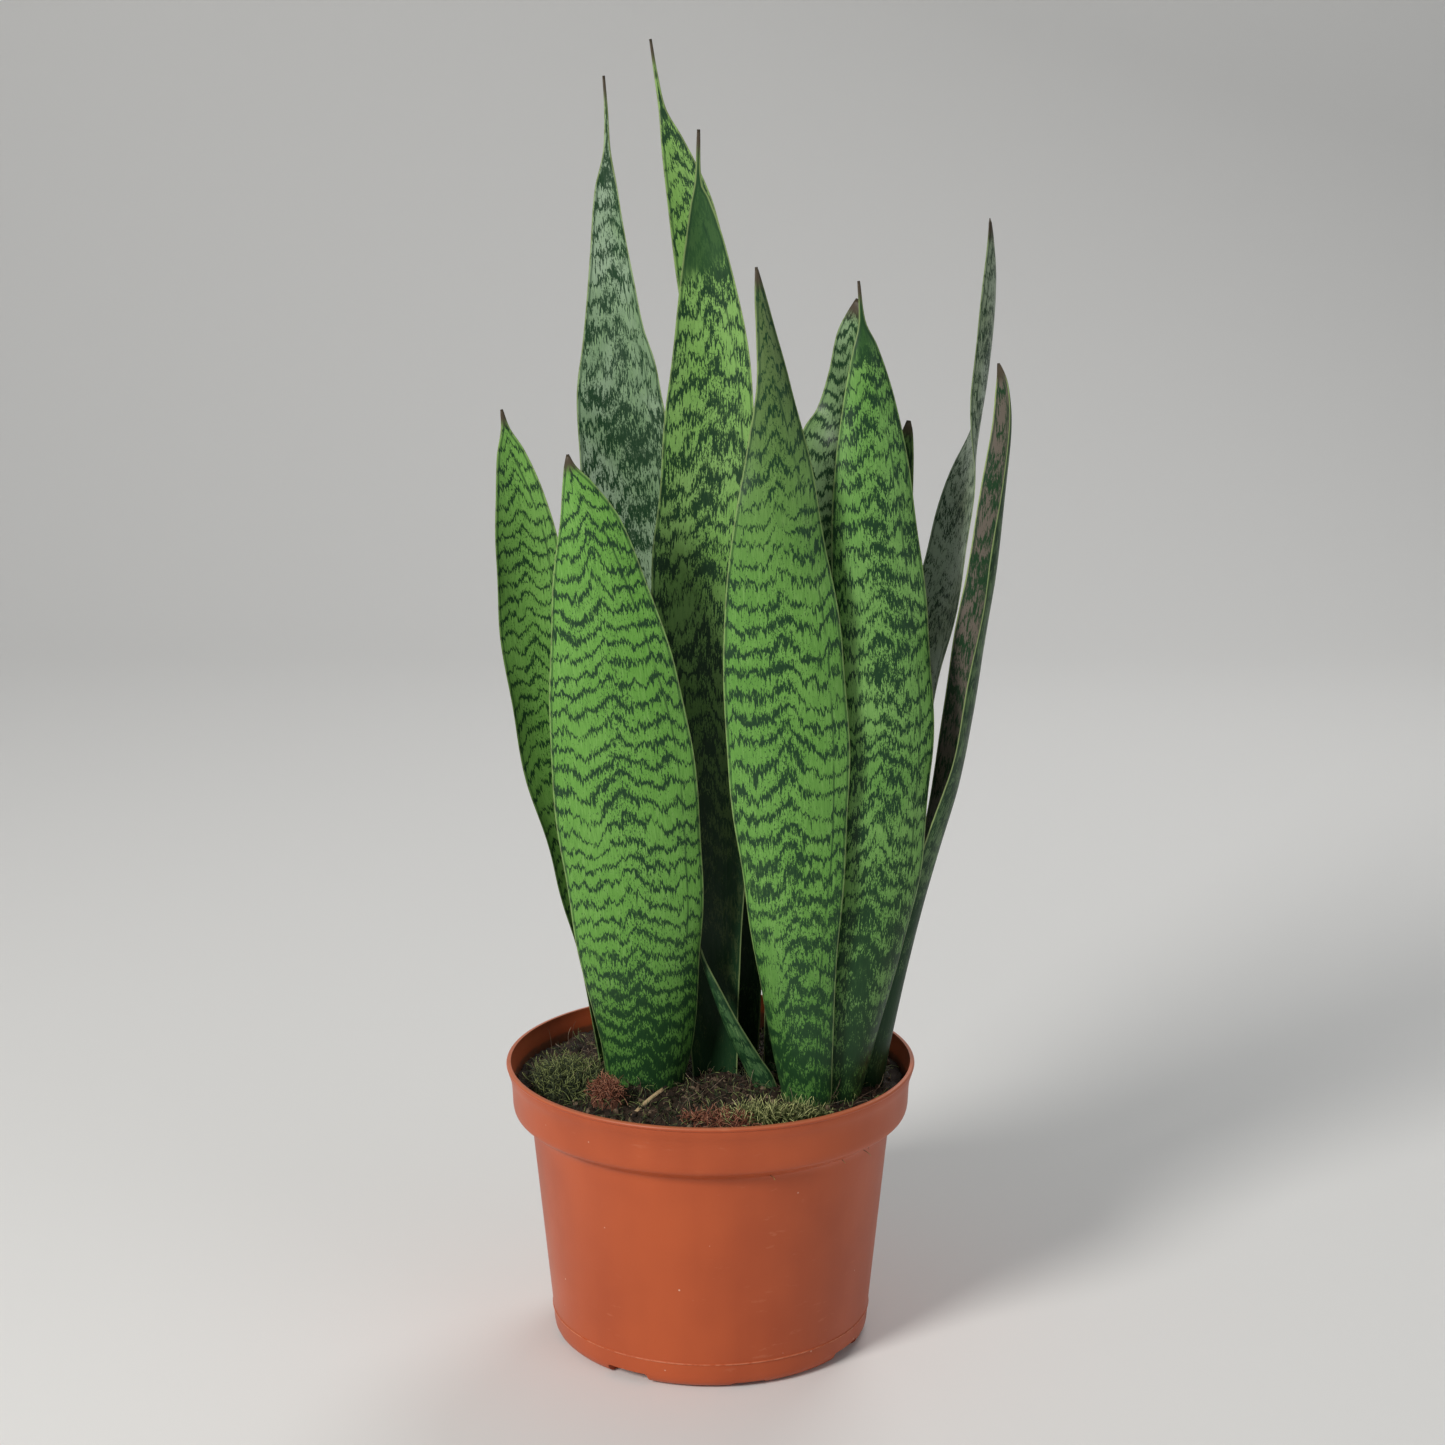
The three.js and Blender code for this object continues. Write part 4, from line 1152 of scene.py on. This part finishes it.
def make_pot_material():
    material, tree, shader = new_material("orange pot plastic")
    place = object_place(tree)
    plastic = group(tree, plastic_group, {
        "Place": place, "Colour": (*POT_ORANGE, 1), "Deep": (*POT_DEEP, 1),
        "Pale": (*POT_PALE, 1), "Dust": (*DUST, 1), "Roughness": POT_ROUGHNESS,
    })
    height = parts(tree, place)[2]
    flat = vector(tree, "MULTIPLY", place, (1, 1, 0))
    radius = calc(tree, "SQRT", vector(tree, "DOT_PRODUCT", place, flat))

    def between(value, low, high):
        return ramp(tree, value, low * MM, high * MM)

    off_ring = calc(
        tree, "ABSOLUTE", calc(tree, "SUBTRACT", height, PARTING_HEIGHT * MM))
    worn = times(
        tree, between(off_ring, 0.42, 0.2), ramp(tree, noise(tree, place, 300.0), 0.3, 0.6),
        between(radius, FOOT_RADIUS - 0.7, FOOT_RADIUS))
    splash = add_up(tree, height, (swing(tree, noise(tree, place, 120.0, 3.0)), 6 * MM))
    stained = times(
        tree, between(splash, POT_HEIGHT - 4, POT_HEIGHT - 10),
        times(
            tree, between(radius, BAND_RADIUS - 0.6, BAND_RADIUS - 0.9),
            between(height, BAND_BOTTOM + 1, BAND_BOTTOM + 2)))
    base = paint(
        tree, plastic["Colour"], (worn, 0.5, POT_PALE),
        # Painted highlight: a thin pale line round the top of the lip.
        (between(height, POT_HEIGHT - 0.9, POT_HEIGHT - 0.3), 0.28, POT_PALE),
        (stained, 0.75, PEAT_STAIN))
    dress(
        tree, shader, base, plastic["Roughness"], POT_SPECULAR, plastic["Height"], POT_BUMP * MM)
    return material


pot.data.materials.clear()
pot.data.materials.append(make_pot_material())
keep(pot, "pot")

# %% [markdown]
# ## The soil
#
# The soil is peat: dark, dry on top and never level. It mounds up between the front leaves, sinks
# at the back wall and settles a little all round the edge. The body is a turned solid that fits the
# pot's hollow, with a dense top. Geometry nodes roughen that top with lumps of three sizes. They
# only lift it straight up, so that the sides stay clear of the wall.

# %% Soil body
SOIL_REACH = LIP_RADIUS - WALL
SOIL_GAP = 0.3
SOIL_RINGS = 90
SOIL_SEGMENTS = 300
SOIL_FOOT_CURVE = ((16, 9.0), (18, WALL + SOIL_GAP))
SIDE_TOP_DROP = 5
ROUGH_ABOVE = 115 * MM


def soil_height(x, y):
    """Height of the soil in millimetres, at shares of its reach to the right and to the back."""
    out = np.hypot(x, y)
    settled = np.clip((out - 0.7) / 0.3, 0, 1)
    settled = settled**2 * (3 - 2 * settled)
    mound = 3 * np.exp(-(((x + 0.1) / 0.6) ** 2) - ((y + 0.7) / 0.3) ** 2)
    dip = 7 * np.exp(-(((x - 0.15) / 0.35) ** 2) - ((y - 0.85) / 0.4) ** 2)
    crumbs = np.sin(9 * x + 2) * np.sin(8 * y + 1) + 0.6 * np.sin(17 * x - 11 * y)
    return SOIL_LEVEL + mound - dip - 2.5 * settled + 0.7 * crumbs


def make_soil_body():
    inset = WALL + SOIL_GAP
    sides = [
        (r - SOIL_GAP, z + SOIL_GAP) for r, z in reversed(inside)
        if 2 * FOOT_CORNER < z < SOIL_LEVEL - SIDE_TOP_DROP
    ]
    sides.append((FOOT_RADIUS - inset, 2 * FOOT_CORNER))
    sides += [(FOOT_RADIUS - inwards, z) for inwards, z in SOIL_FOOT_CURVE]
    points, rings = [(0, 0, float(soil_height(0, 0)))], []
    for r in (BAND_RADIUS - inset) * np.arange(1, SOIL_RINGS + 1) / SOIL_RINGS:
        rings.append(len(points))
        flat = np.array(turned_ring(r, 0, SOIL_SEGMENTS))[:, :2] / SOIL_REACH
        points += turned_ring(r, soil_height(flat[:, 0], flat[:, 1]), SOIL_SEGMENTS)
    for r, z in sides:
        rings.append(len(points))
        points += turned_ring(r, z, SOIL_SEGMENTS)
    last = len(points)
    points.append((0, 0, inset))
    faces = []
    for i in range(SOIL_SEGMENTS):
        j = (i + 1) % SOIL_SEGMENTS
        faces.append((0, rings[0] + i, rings[0] + j))
        faces.append((rings[-1] + j, rings[-1] + i, last))
        faces.extend((high + i, low + i, low + j, high + j) for high, low in zip(rings, rings[1:]))
    return new_object("soil_body", points, faces, MM)


def make_rough_tree():
    tree, given, output = new_tree("rough ground", "GeometryNodeTree", {
        "Geometry": ("Geometry", None), "Lumps": ("Float", 1.5 * MM),
        "Crumbs": ("Float", 0.9 * MM), "Grains": ("Float", 0.4 * MM), "Lowest": ("Float", 0.1),
        "Seed": ("Float", 0.0), "Material": ("Material", None),
    }, {"Geometry": "Geometry"})
    place = put(tree, "GeometryNodeInputPosition").outputs[0]
    moved = vector(tree, "ADD", place, combine(tree, given["Seed"], 0.0, 0.0))
    lift = add_up(
        tree, times(tree, swing(tree, noise(tree, moved, 70.0)), given["Lumps"]),
        (ramp(tree, noise(tree, moved, 260.0), 0.3, 0.75), given["Crumbs"]),
        (swing(tree, noise(tree, moved, 900.0)), given["Grains"]))
    above = calc(tree, "GREATER_THAN", parts(tree, place)[2], given["Lowest"])
    upward = ramp(tree, parts(tree, put(tree, "GeometryNodeInputNormal").outputs[0])[2], 0.2, 0.6)
    offset = combine(tree, 0.0, 0.0, times(tree, lift, above, upward))
    flow = step(tree, "SetPosition", given["Geometry"], {"Offset": offset})
    flow = step(tree, "SetShadeSmooth", flow)
    flow = step(tree, "RealizeInstances", flow)
    flow = step(tree, "SetMaterial", flow, {"Material": given["Material"]})
    return finish_tree(tree, output, {"Geometry": flow})


rough_tree = make_rough_tree()
print("rough ground tree:", len(rough_tree.nodes), "nodes")

# %% [markdown]
# Peat, crumbs, moss cushions and straw are all matt and grainy, and differ only in three colours.
# One function makes them: dark where a noise is low, pale where it is high. On crumbs a `tone` for
# each crumb shifts the colour, so that some are nearly black and some are bleached.

# %% Earth finishes
EARTH_SPECULAR = 0.3
PEAT = [(0.008, 0.006, 0.004), (0.034, 0.020, 0.012), (0.13, 0.075, 0.042)]


def earth_material(name, colours, tones=None, bump=0.5):
    """Colours: dark, middle, pale. Tones names an attribute that shifts them; bump is in mm."""
    material, tree, shader = new_material(name)
    place = object_place(tree)
    coarse = times(tree, noise(tree, place, 130.0), 0.4)
    mixed = add_up(tree, coarse, (noise(tree, place, 900.0, 3.0), 0.6))
    if tones:
        mixed = add_up(tree, times(tree, mixed, 0.5), (attributes(tree, tones)[0], 0.55))
    base = blend(tree, ramp(tree, mixed, 0.25, 0.55), colours[0], colours[1])
    base = blend(tree, ramp(tree, mixed, 0.55, 0.85), base, colours[2])
    roughness = calc(tree, "MULTIPLY_ADD", mixed, 0.2, 0.72, clamp=True)
    grain = noise(tree, place, 1600.0, 3.0, 0.6)
    dress(tree, shader, base, roughness, EARTH_SPECULAR, grain, bump * MM)
    return material


soil = run_tree(make_soil_body(), rough_tree, {
    "Lumps": 2.2 * MM, "Crumbs": 2.4 * MM, "Grains": 0.6 * MM, "Lowest": ROUGH_ABOVE,
    "Seed": 3.1, "Material": earth_material("dark peat", PEAT),
})
keep(soil, "soil")

# %% [markdown]
# Loose crumbs lie on the surface. Each is a little stone of 80 faces, pushed out of shape by noise
# after it has been placed, so that no two are alike. Points are scattered only on the upper side
# of the soil and away from the wall.

# %% Crumbs
LEAST_SLOPE_UP = 0.35
GROWS_ABOVE = 100 * MM
FULL_TURN = 6.3
CRUMB_COLOURS = [(0.014, 0.009, 0.006), (0.06, 0.035, 0.022), (0.24, 0.17, 0.11)]


def scatter(tree, given):
    """Random points on the upper side of the given surface, within its reach of the middle."""
    up = parts(tree, put(tree, "GeometryNodeInputNormal").outputs[0])[2]
    x, y, z = parts(tree, put(tree, "GeometryNodeInputPosition").outputs[0])
    out = calc(tree, "SQRT", add_up(tree, times(tree, y, y), (x, x)))
    chosen = times(
        tree, calc(tree, "GREATER_THAN", up, LEAST_SLOPE_UP),
        times(
            tree, calc(tree, "LESS_THAN", out, given["Reach"]),
            calc(tree, "GREATER_THAN", z, GROWS_ABOVE)))
    return put(tree, "GeometryNodeDistributePointsOnFaces", {
        "Mesh": given["Geometry"], "Density": given["Density"], "Seed": given["Seed"],
        "Selection": chosen,
    }).outputs["Points"]


def random_float(tree, low, high, seed):
    inputs = {2: low, 3: high, 8: seed}
    return put(tree, "FunctionNodeRandomValue", inputs, data_type="FLOAT").outputs[1]


def random_vector(tree, low, high, seed):
    inputs = {0: low, 1: high, 8: seed}
    return put(tree, "FunctionNodeRandomValue", inputs, data_type="FLOAT_VECTOR").outputs[0]


def place_copies(tree, points, shape, turns, scale):
    """A copy of the shape on each point, with a random tone for its colour, made real."""
    flow = put(tree, "GeometryNodeInstanceOnPoints", {
        "Points": points, "Instance": shape, "Rotation": turns, "Scale": scale,
    }).outputs[0]
    flow = step(
        tree, "StoreNamedAttribute", flow,
        {"Name": "tone", "Value": random_float(tree, 0.0, 1.0, 9)},
        data_type="FLOAT", domain="INSTANCE")
    return step(tree, "RealizeInstances", flow)


def make_crumb_tree():
    tree, given, output = new_tree("scattered crumbs", "GeometryNodeTree", {
        "Geometry": ("Geometry", None), "Density": ("Float", 60000.0),
        "Smallest": ("Float", 0.5 * MM), "Largest": ("Float", 1.8 * MM),
        "Reach": ("Float", 88 * MM), "Knock": ("Float", 0.45 * MM), "Seed": ("Int", 0),
        "Material": ("Material", None),
    }, {"Geometry": "Geometry"})
    points = scatter(tree, given)
    crumb = put(tree, "GeometryNodeMeshIcoSphere", {"Radius": 1.0, "Subdivisions": 2})
    mostly_small = calc(tree, "POWER", random_float(tree, 0.0, 1.0, given["Seed"]), 3.0)
    size = put(tree, "ShaderNodeMix", {
        0: mostly_small, 2: given["Smallest"], 3: given["Largest"],
    }).outputs[0]
    shape = random_vector(tree, (0.7, 0.55, 0.4), (1.2, 1.0, 0.9), 5)
    turns = random_vector(tree, (0, 0, 0), (FULL_TURN,) * 3, 6)
    flow = place_copies(
        tree, points, crumb.outputs["Mesh"], turns, vector(tree, "SCALE", shape, size))
    place = put(tree, "GeometryNodeInputPosition").outputs[0]
    knock = times(tree, swing(tree, noise(tree, place, 1100.0, 1.0)), given["Knock"])
    push = vector(tree, "SCALE", put(tree, "GeometryNodeInputNormal").outputs[0], knock)
    flow = step(tree, "SetPosition", flow, {"Offset": push})
    flow = step(tree, "RealizeInstances", flow)
    flow = step(tree, "SetMaterial", flow, {"Material": given["Material"]})
    return finish_tree(tree, output, {"Geometry": flow})


def copy_of(thing, name):
    return link(bpy.data.objects.new(name, thing.data.copy()))


crumb_tree = make_crumb_tree()
crumbs = run_tree(copy_of(soil, "soil_crumbs"), crumb_tree, {
    "Density": 55000.0, "Smallest": 0.45 * MM, "Largest": 2.3 * MM, "Seed": 4,
    "Material": earth_material("peat crumbs", CRUMB_COLOURS, "tone"),
})
keep(crumbs)

# %% [markdown]
# ## Fibres, roots and moss
#
# Everything thin on the soil is one kind of thing: a short strand that starts on a surface, leans
# some way and curls. Moss is a dense crowd of them, standing on a low cushion. Peat fibres and
# roots are sparse, longer and lie almost flat. One tree grows them all. Each strand is a bent
# curve, shaken by noise and swept with a tapering three-sided section, closed at both ends.
#
# The strands are made real before they are shaken, because copies of one curve would all shake
# alike. Curve to Mesh takes the taper through its own Scale input.

# %% The strand tree
STRAND_CURVE = {
    "Start": (0, 0, 0), "Start Handle": (0, 0, 0.4), "End Handle": (0.25, 0, 0.8),
    "End": (0.7, 0, 0.9), "Resolution": 7,
}
TIP_TAPER = 0.75


def make_strand_tree():
    tree, given, output = new_tree("strands", "GeometryNodeTree", {
        "Geometry": ("Geometry", None), "Density": ("Float", 50000.0),
        "Length": ("Float", 8 * MM), "Radius": ("Float", 0.3 * MM), "Lean": ("Float", 1.0),
        "Curl": ("Float", 1.5 * MM), "Curl Scale": ("Float", 220.0), "Reach": ("Float", 87 * MM),
        "Seed": ("Int", 0), "Keep Surface": ("Bool", False), "Material": ("Material", None),
        "Core": ("Material", None),
    }, {"Geometry": "Geometry"})
    points = scatter(tree, given)
    strand = put(tree, "GeometryNodeCurvePrimitiveBezierSegment", STRAND_CURVE).outputs[0]
    lean = vector(tree, "SCALE", random_vector(tree, (-1, -1, 0), (1, 1, 0), 3), given["Lean"])
    spin = combine(tree, 0.0, 0.0, random_float(tree, 0.0, 6.28, 11))
    leant, spun = (
        put(tree, "FunctionNodeEulerToRotation", {0: turn}).outputs[0] for turn in (lean, spin))
    turned = put(
        tree, "FunctionNodeRotateRotation", {0: leant, 1: spun}, rotation_space="LOCAL").outputs[0]
    size = times(tree, given["Length"], random_float(tree, 0.45, 1.15, given["Seed"]))
    flow = place_copies(tree, points, strand, turned, combine(tree, size, size, size))
    tip = put(tree, "GeometryNodeSplineParameter").outputs[0]
    flow = step(
        tree, "StoreNamedAttribute", flow, {"Name": "tip", "Value": tip},
        data_type="FLOAT", domain="POINT")
    shake = put(tree, "ShaderNodeTexNoise", {
        "Vector": put(tree, "GeometryNodeInputPosition").outputs[0],
        "Scale": given["Curl Scale"], "Detail": 1.0,
    }).outputs["Color"]
    shake = vector(tree, "SUBTRACT", shake, (0.5, 0.5, 0.5))
    shake = vector(tree, "SCALE", shake, times(tree, tip, 2.0, given["Curl"]))
    flow = step(tree, "SetPosition", flow, {"Offset": shake})
    taper = times(
        tree, given["Radius"], calc(tree, "MULTIPLY_ADD", tip, -TIP_TAPER, 1.0))
    section = put(tree, "GeometryNodeCurvePrimitiveCircle", {"Resolution": 3, "Radius": 1.0})
    flow = put(tree, "GeometryNodeCurveToMesh", {
        "Curve": flow, "Profile Curve": section.outputs[0], "Scale": taper, "Fill Caps": True,
    }).outputs[0]
    flow = step(tree, "RealizeInstances", flow)
    flow = step(tree, "SetMaterial", flow, {"Material": given["Material"]})
    surface = step(tree, "SetMaterial", given["Geometry"], {"Material": given["Core"]})
    shown = put(
        tree, "GeometryNodeSwitch", {"Switch": given["Keep Surface"], "True": surface},
        input_type="GEOMETRY")
    both = put(tree, "GeometryNodeJoinGeometry", {0: shown.outputs[0]})
    tree.links.new(flow, both.inputs[0])
    return finish_tree(tree, output, {"Geometry": both.outputs[0]})


strand_tree = make_strand_tree()
print("strand tree:", len(strand_tree.nodes), "nodes")

# %% [markdown]
# A cushion is a ball squashed into a low mound, with the same rough tree as the soil. It sits a
# little under the surface, so its strands seem to come out of the ground. The strands are dark at
# the root and pale at the tip, by the `tip` value that each one carries.

# %% Cushions and strand finishes
CUSHION_SUBDIVISIONS = 5
CUSHION_GRAINS = 0.4 * MM


def ground_point(x, y, rise):
    return Vector((x * SOIL_REACH, y * SOIL_REACH, float(soil_height(x, y)) + rise)) * MM


def make_cushion(name, x, y, turn, rise, sizes, lumps, seed, material):
    """Place in shares of the soil's reach, turn in degrees, rise, sizes and lumps in mm."""
    shape = bmesh.new()
    bmesh.ops.create_icosphere(shape, subdivisions=CUSHION_SUBDIVISIONS, radius=1.0)
    middle, turned = ground_point(x, y, rise), math.radians(turn)
    for point in shape.verts:
        side, depth, height = (point.co[axis] * sizes[axis] * MM for axis in range(3))
        point.co = middle + Vector((
            side * math.cos(turned) - depth * math.sin(turned),
            side * math.sin(turned) + depth * math.cos(turned), height,
        ))
    mesh = bpy.data.meshes.new(name)
    shape.to_mesh(mesh)
    shape.free()
    return run_tree(link(bpy.data.objects.new(name, mesh)), rough_tree, {
        "Lumps": lumps * MM, "Crumbs": lumps * MM, "Grains": CUSHION_GRAINS, "Lowest": 0.05,
        "Seed": seed, "Material": material,
    })


def strand_material(name, root, middle, tips):
    material, tree, shader = new_material(name)
    tone, tip = attributes(tree, "tone", "tip")
    flecks = swing(tree, noise(tree, object_place(tree), 700.0))
    place = add_up(tree, tip, (flecks, 0.35))
    base = blend(tree, ramp(tree, place, 0.0, 0.45), root, middle)
    base = paint(tree, base, (ramp(tree, place, 0.4, 1.0), ramp(tree, tone, 0.15, 0.8), tips))
    roughness = calc(tree, "MULTIPLY_ADD", tone, 0.25, 0.55)
    dress(
        tree, shader, base, roughness, 0.5, noise(tree, object_place(tree), 2500.0), 0.05 * MM)
    return material


moss_core = earth_material(
    "moss cushion", [(0.012, 0.014, 0.006), (0.035, 0.045, 0.015), (0.10, 0.12, 0.035)])
peat_core = earth_material(
    "red peat core", [(0.03, 0.012, 0.007), (0.13, 0.050, 0.028), (0.26, 0.11, 0.06)])
dark_moss = strand_material(
    "dark moss strands", (0.006, 0.008, 0.004), (0.030, 0.045, 0.014), (0.40, 0.46, 0.15))
bright_moss = strand_material(
    "bright moss strands", (0.008, 0.010, 0.004), (0.07, 0.09, 0.02), (0.80, 0.82, 0.34))
red_peat = strand_material(
    "red peat fibres", (0.022, 0.008, 0.005), (0.20, 0.058, 0.028), (0.62, 0.30, 0.18))
roots = strand_material(
    "root fibres", (0.03, 0.018, 0.012), (0.11, 0.065, 0.04), (0.50, 0.38, 0.26))

# %% [markdown]
# Two tufts of moss, a block and a patch of red peat, then fibres and sprigs scattered over the
# whole surface. The tufts keep their cushion under the strands. The fibres and sprigs start from a
# copy of the soil and leave it out, because the soil is there already.

# %% Moss, peat and fibres


def grow(surface, slot, node, seed, density, length, radius, lean, curl, curl_scale, **values):
    """Lengths in millimetres, density in strands for each square metre."""
    keep(run_tree(surface, strand_tree, {
        "Density": density, "Length": length * MM, "Radius": radius * MM, "Lean": lean,
        "Curl": curl * MM, "Curl Scale": curl_scale, "Seed": seed,
    } | {label.replace("_", " ").title(): value for label, value in values.items()}), node)


MOSS = dict(slot="moss", core=moss_core, keep_surface=True, curl=5.0, curl_scale=320.0)
RED = dict(
    slot="coarse_peat", core=peat_core, keep_surface=True, material=red_peat,
    length=5.0, radius=0.34, lean=1.8, curl=3.6, curl_scale=350.0)
grow(
    make_cushion("moss_left_tuft", -0.69, -0.12, 12, -2, (17, 24, 6), 1.2, 1.0, moss_core),
    node="moss_left", seed=1, density=0.9e6, length=7.0, radius=0.34, lean=1.7,
    material=dark_moss, **MOSS)
grow(
    make_cushion("moss_front_tuft", 0.3, -0.7, 8, -2, (25, 10, 5.5), 1.2, 2.0, moss_core),
    node="moss_front", seed=2, density=1.1e6, length=7.5, radius=0.38, lean=1.6,
    material=bright_moss, **MOSS)
grow(
    make_cushion("peat_block", -0.5, -0.45, 20, 1, (7, 11, 8), 1.6, 3.0, peat_core),
    node="peat_clump", seed=3, density=1.6e6, **RED)
grow(
    make_cushion("peat_patch", 0.04, -0.75, -6, -2.2, (18, 8, 5), 1.2, 4.0, peat_core),
    node=None, seed=4, density=1.1e6, **RED)
grow(
    copy_of(soil, "soil_fibres"), "potting_soil", None, 5, 20000.0, 12, 0.22, 2.0, 6.0, 160.0,
    reach=82 * MM, material=roots, core=roots)
grow(
    copy_of(soil, "moss_sprigs"), "moss", None, 6, 85000.0, 6.0, 0.30, 1.9, 4.0, 320.0,
    reach=86 * MM, material=dark_moss, core=moss_core)

# %% [markdown]
# ## The straw
#
# One splinter of straw leans out of the soil at the front. A straw is a tube, and a splinter is a
# tube split along its length, so it is a thin strip with a curved section. It could be grown by the
# leaf's tree, but a strip of a few rings is simpler to build point by point. It bends a little, and
# its upper end is torn into points of different lengths.

# %% Straw
STRAW_SIDES = 10
STRAW_RINGS = 26
STRAW_HALF_ARC = 80
STRAW_OUTER, STRAW_INNER = 1.3, 0.95
STRAW_TAPER = 0.25
STRAW_BOW = 1.2
TEAR_LENGTH, TEAR_STARTS, TEAR_WAVE = 0.16, 0.6, (3.1, 0.6)
STRAW_COLOURS = [(0.26, 0.16, 0.08), (0.50, 0.36, 0.20), (0.68, 0.54, 0.34)]


def make_straw():
    foot, head = ground_point(-0.41, -0.65, -2), ground_point(-0.22, -0.42, 8)
    axis = (head - foot).normalized()
    side = axis.cross(Vector((0, 0, 1))).normalized()
    lift = side.cross(axis)
    count = 2 * STRAW_SIDES
    points, faces = [], []
    for ring in range(STRAW_RINGS):
        t = ring / (STRAW_RINGS - 1)
        past_start = max(0.0, t - TEAR_STARTS) / (1 - TEAR_STARTS)
        for corner in range(count):
            outer = corner < STRAW_SIDES
            place = corner if outer else count - 1 - corner
            angle = math.radians(STRAW_HALF_ARC * (2 * place / (STRAW_SIDES - 1) - 1))
            radius = (STRAW_OUTER if outer else STRAW_INNER) * (1 - STRAW_TAPER * t) * MM
            jag = 0.5 + 0.5 * math.sin(TEAR_WAVE[0] * place + TEAR_WAVE[1])
            reach = t * (1 - TEAR_LENGTH * jag * past_start)
            spot = foot + (head - foot) * reach + lift * math.sin(math.pi * t) * STRAW_BOW * MM
            rise = math.cos(angle) * radius - 1.0 * MM
            points.append(spot + side * math.sin(angle) * radius + lift * rise)
    for ring in range(STRAW_RINGS - 1):
        for corner in range(count):
            low, after = ring * count + corner, ring * count + (corner + 1) % count
            faces.append((low, after, after + count, low + count))
    for ring, turned in ((0, True), (STRAW_RINGS - 1, False)):
        for place in range(STRAW_SIDES - 1):
            first, far = ring * count + place, (ring + 1) * count - 1 - place
            quad = (first, first + 1, far - 1, far)
            faces.append(tuple(reversed(quad)) if turned else quad)
    return new_object("straw_splinter", points, faces)


straw = make_straw()
straw.data.materials.append(earth_material("dry straw", STRAW_COLOURS, bump=0.15))
keep(straw, "straw")
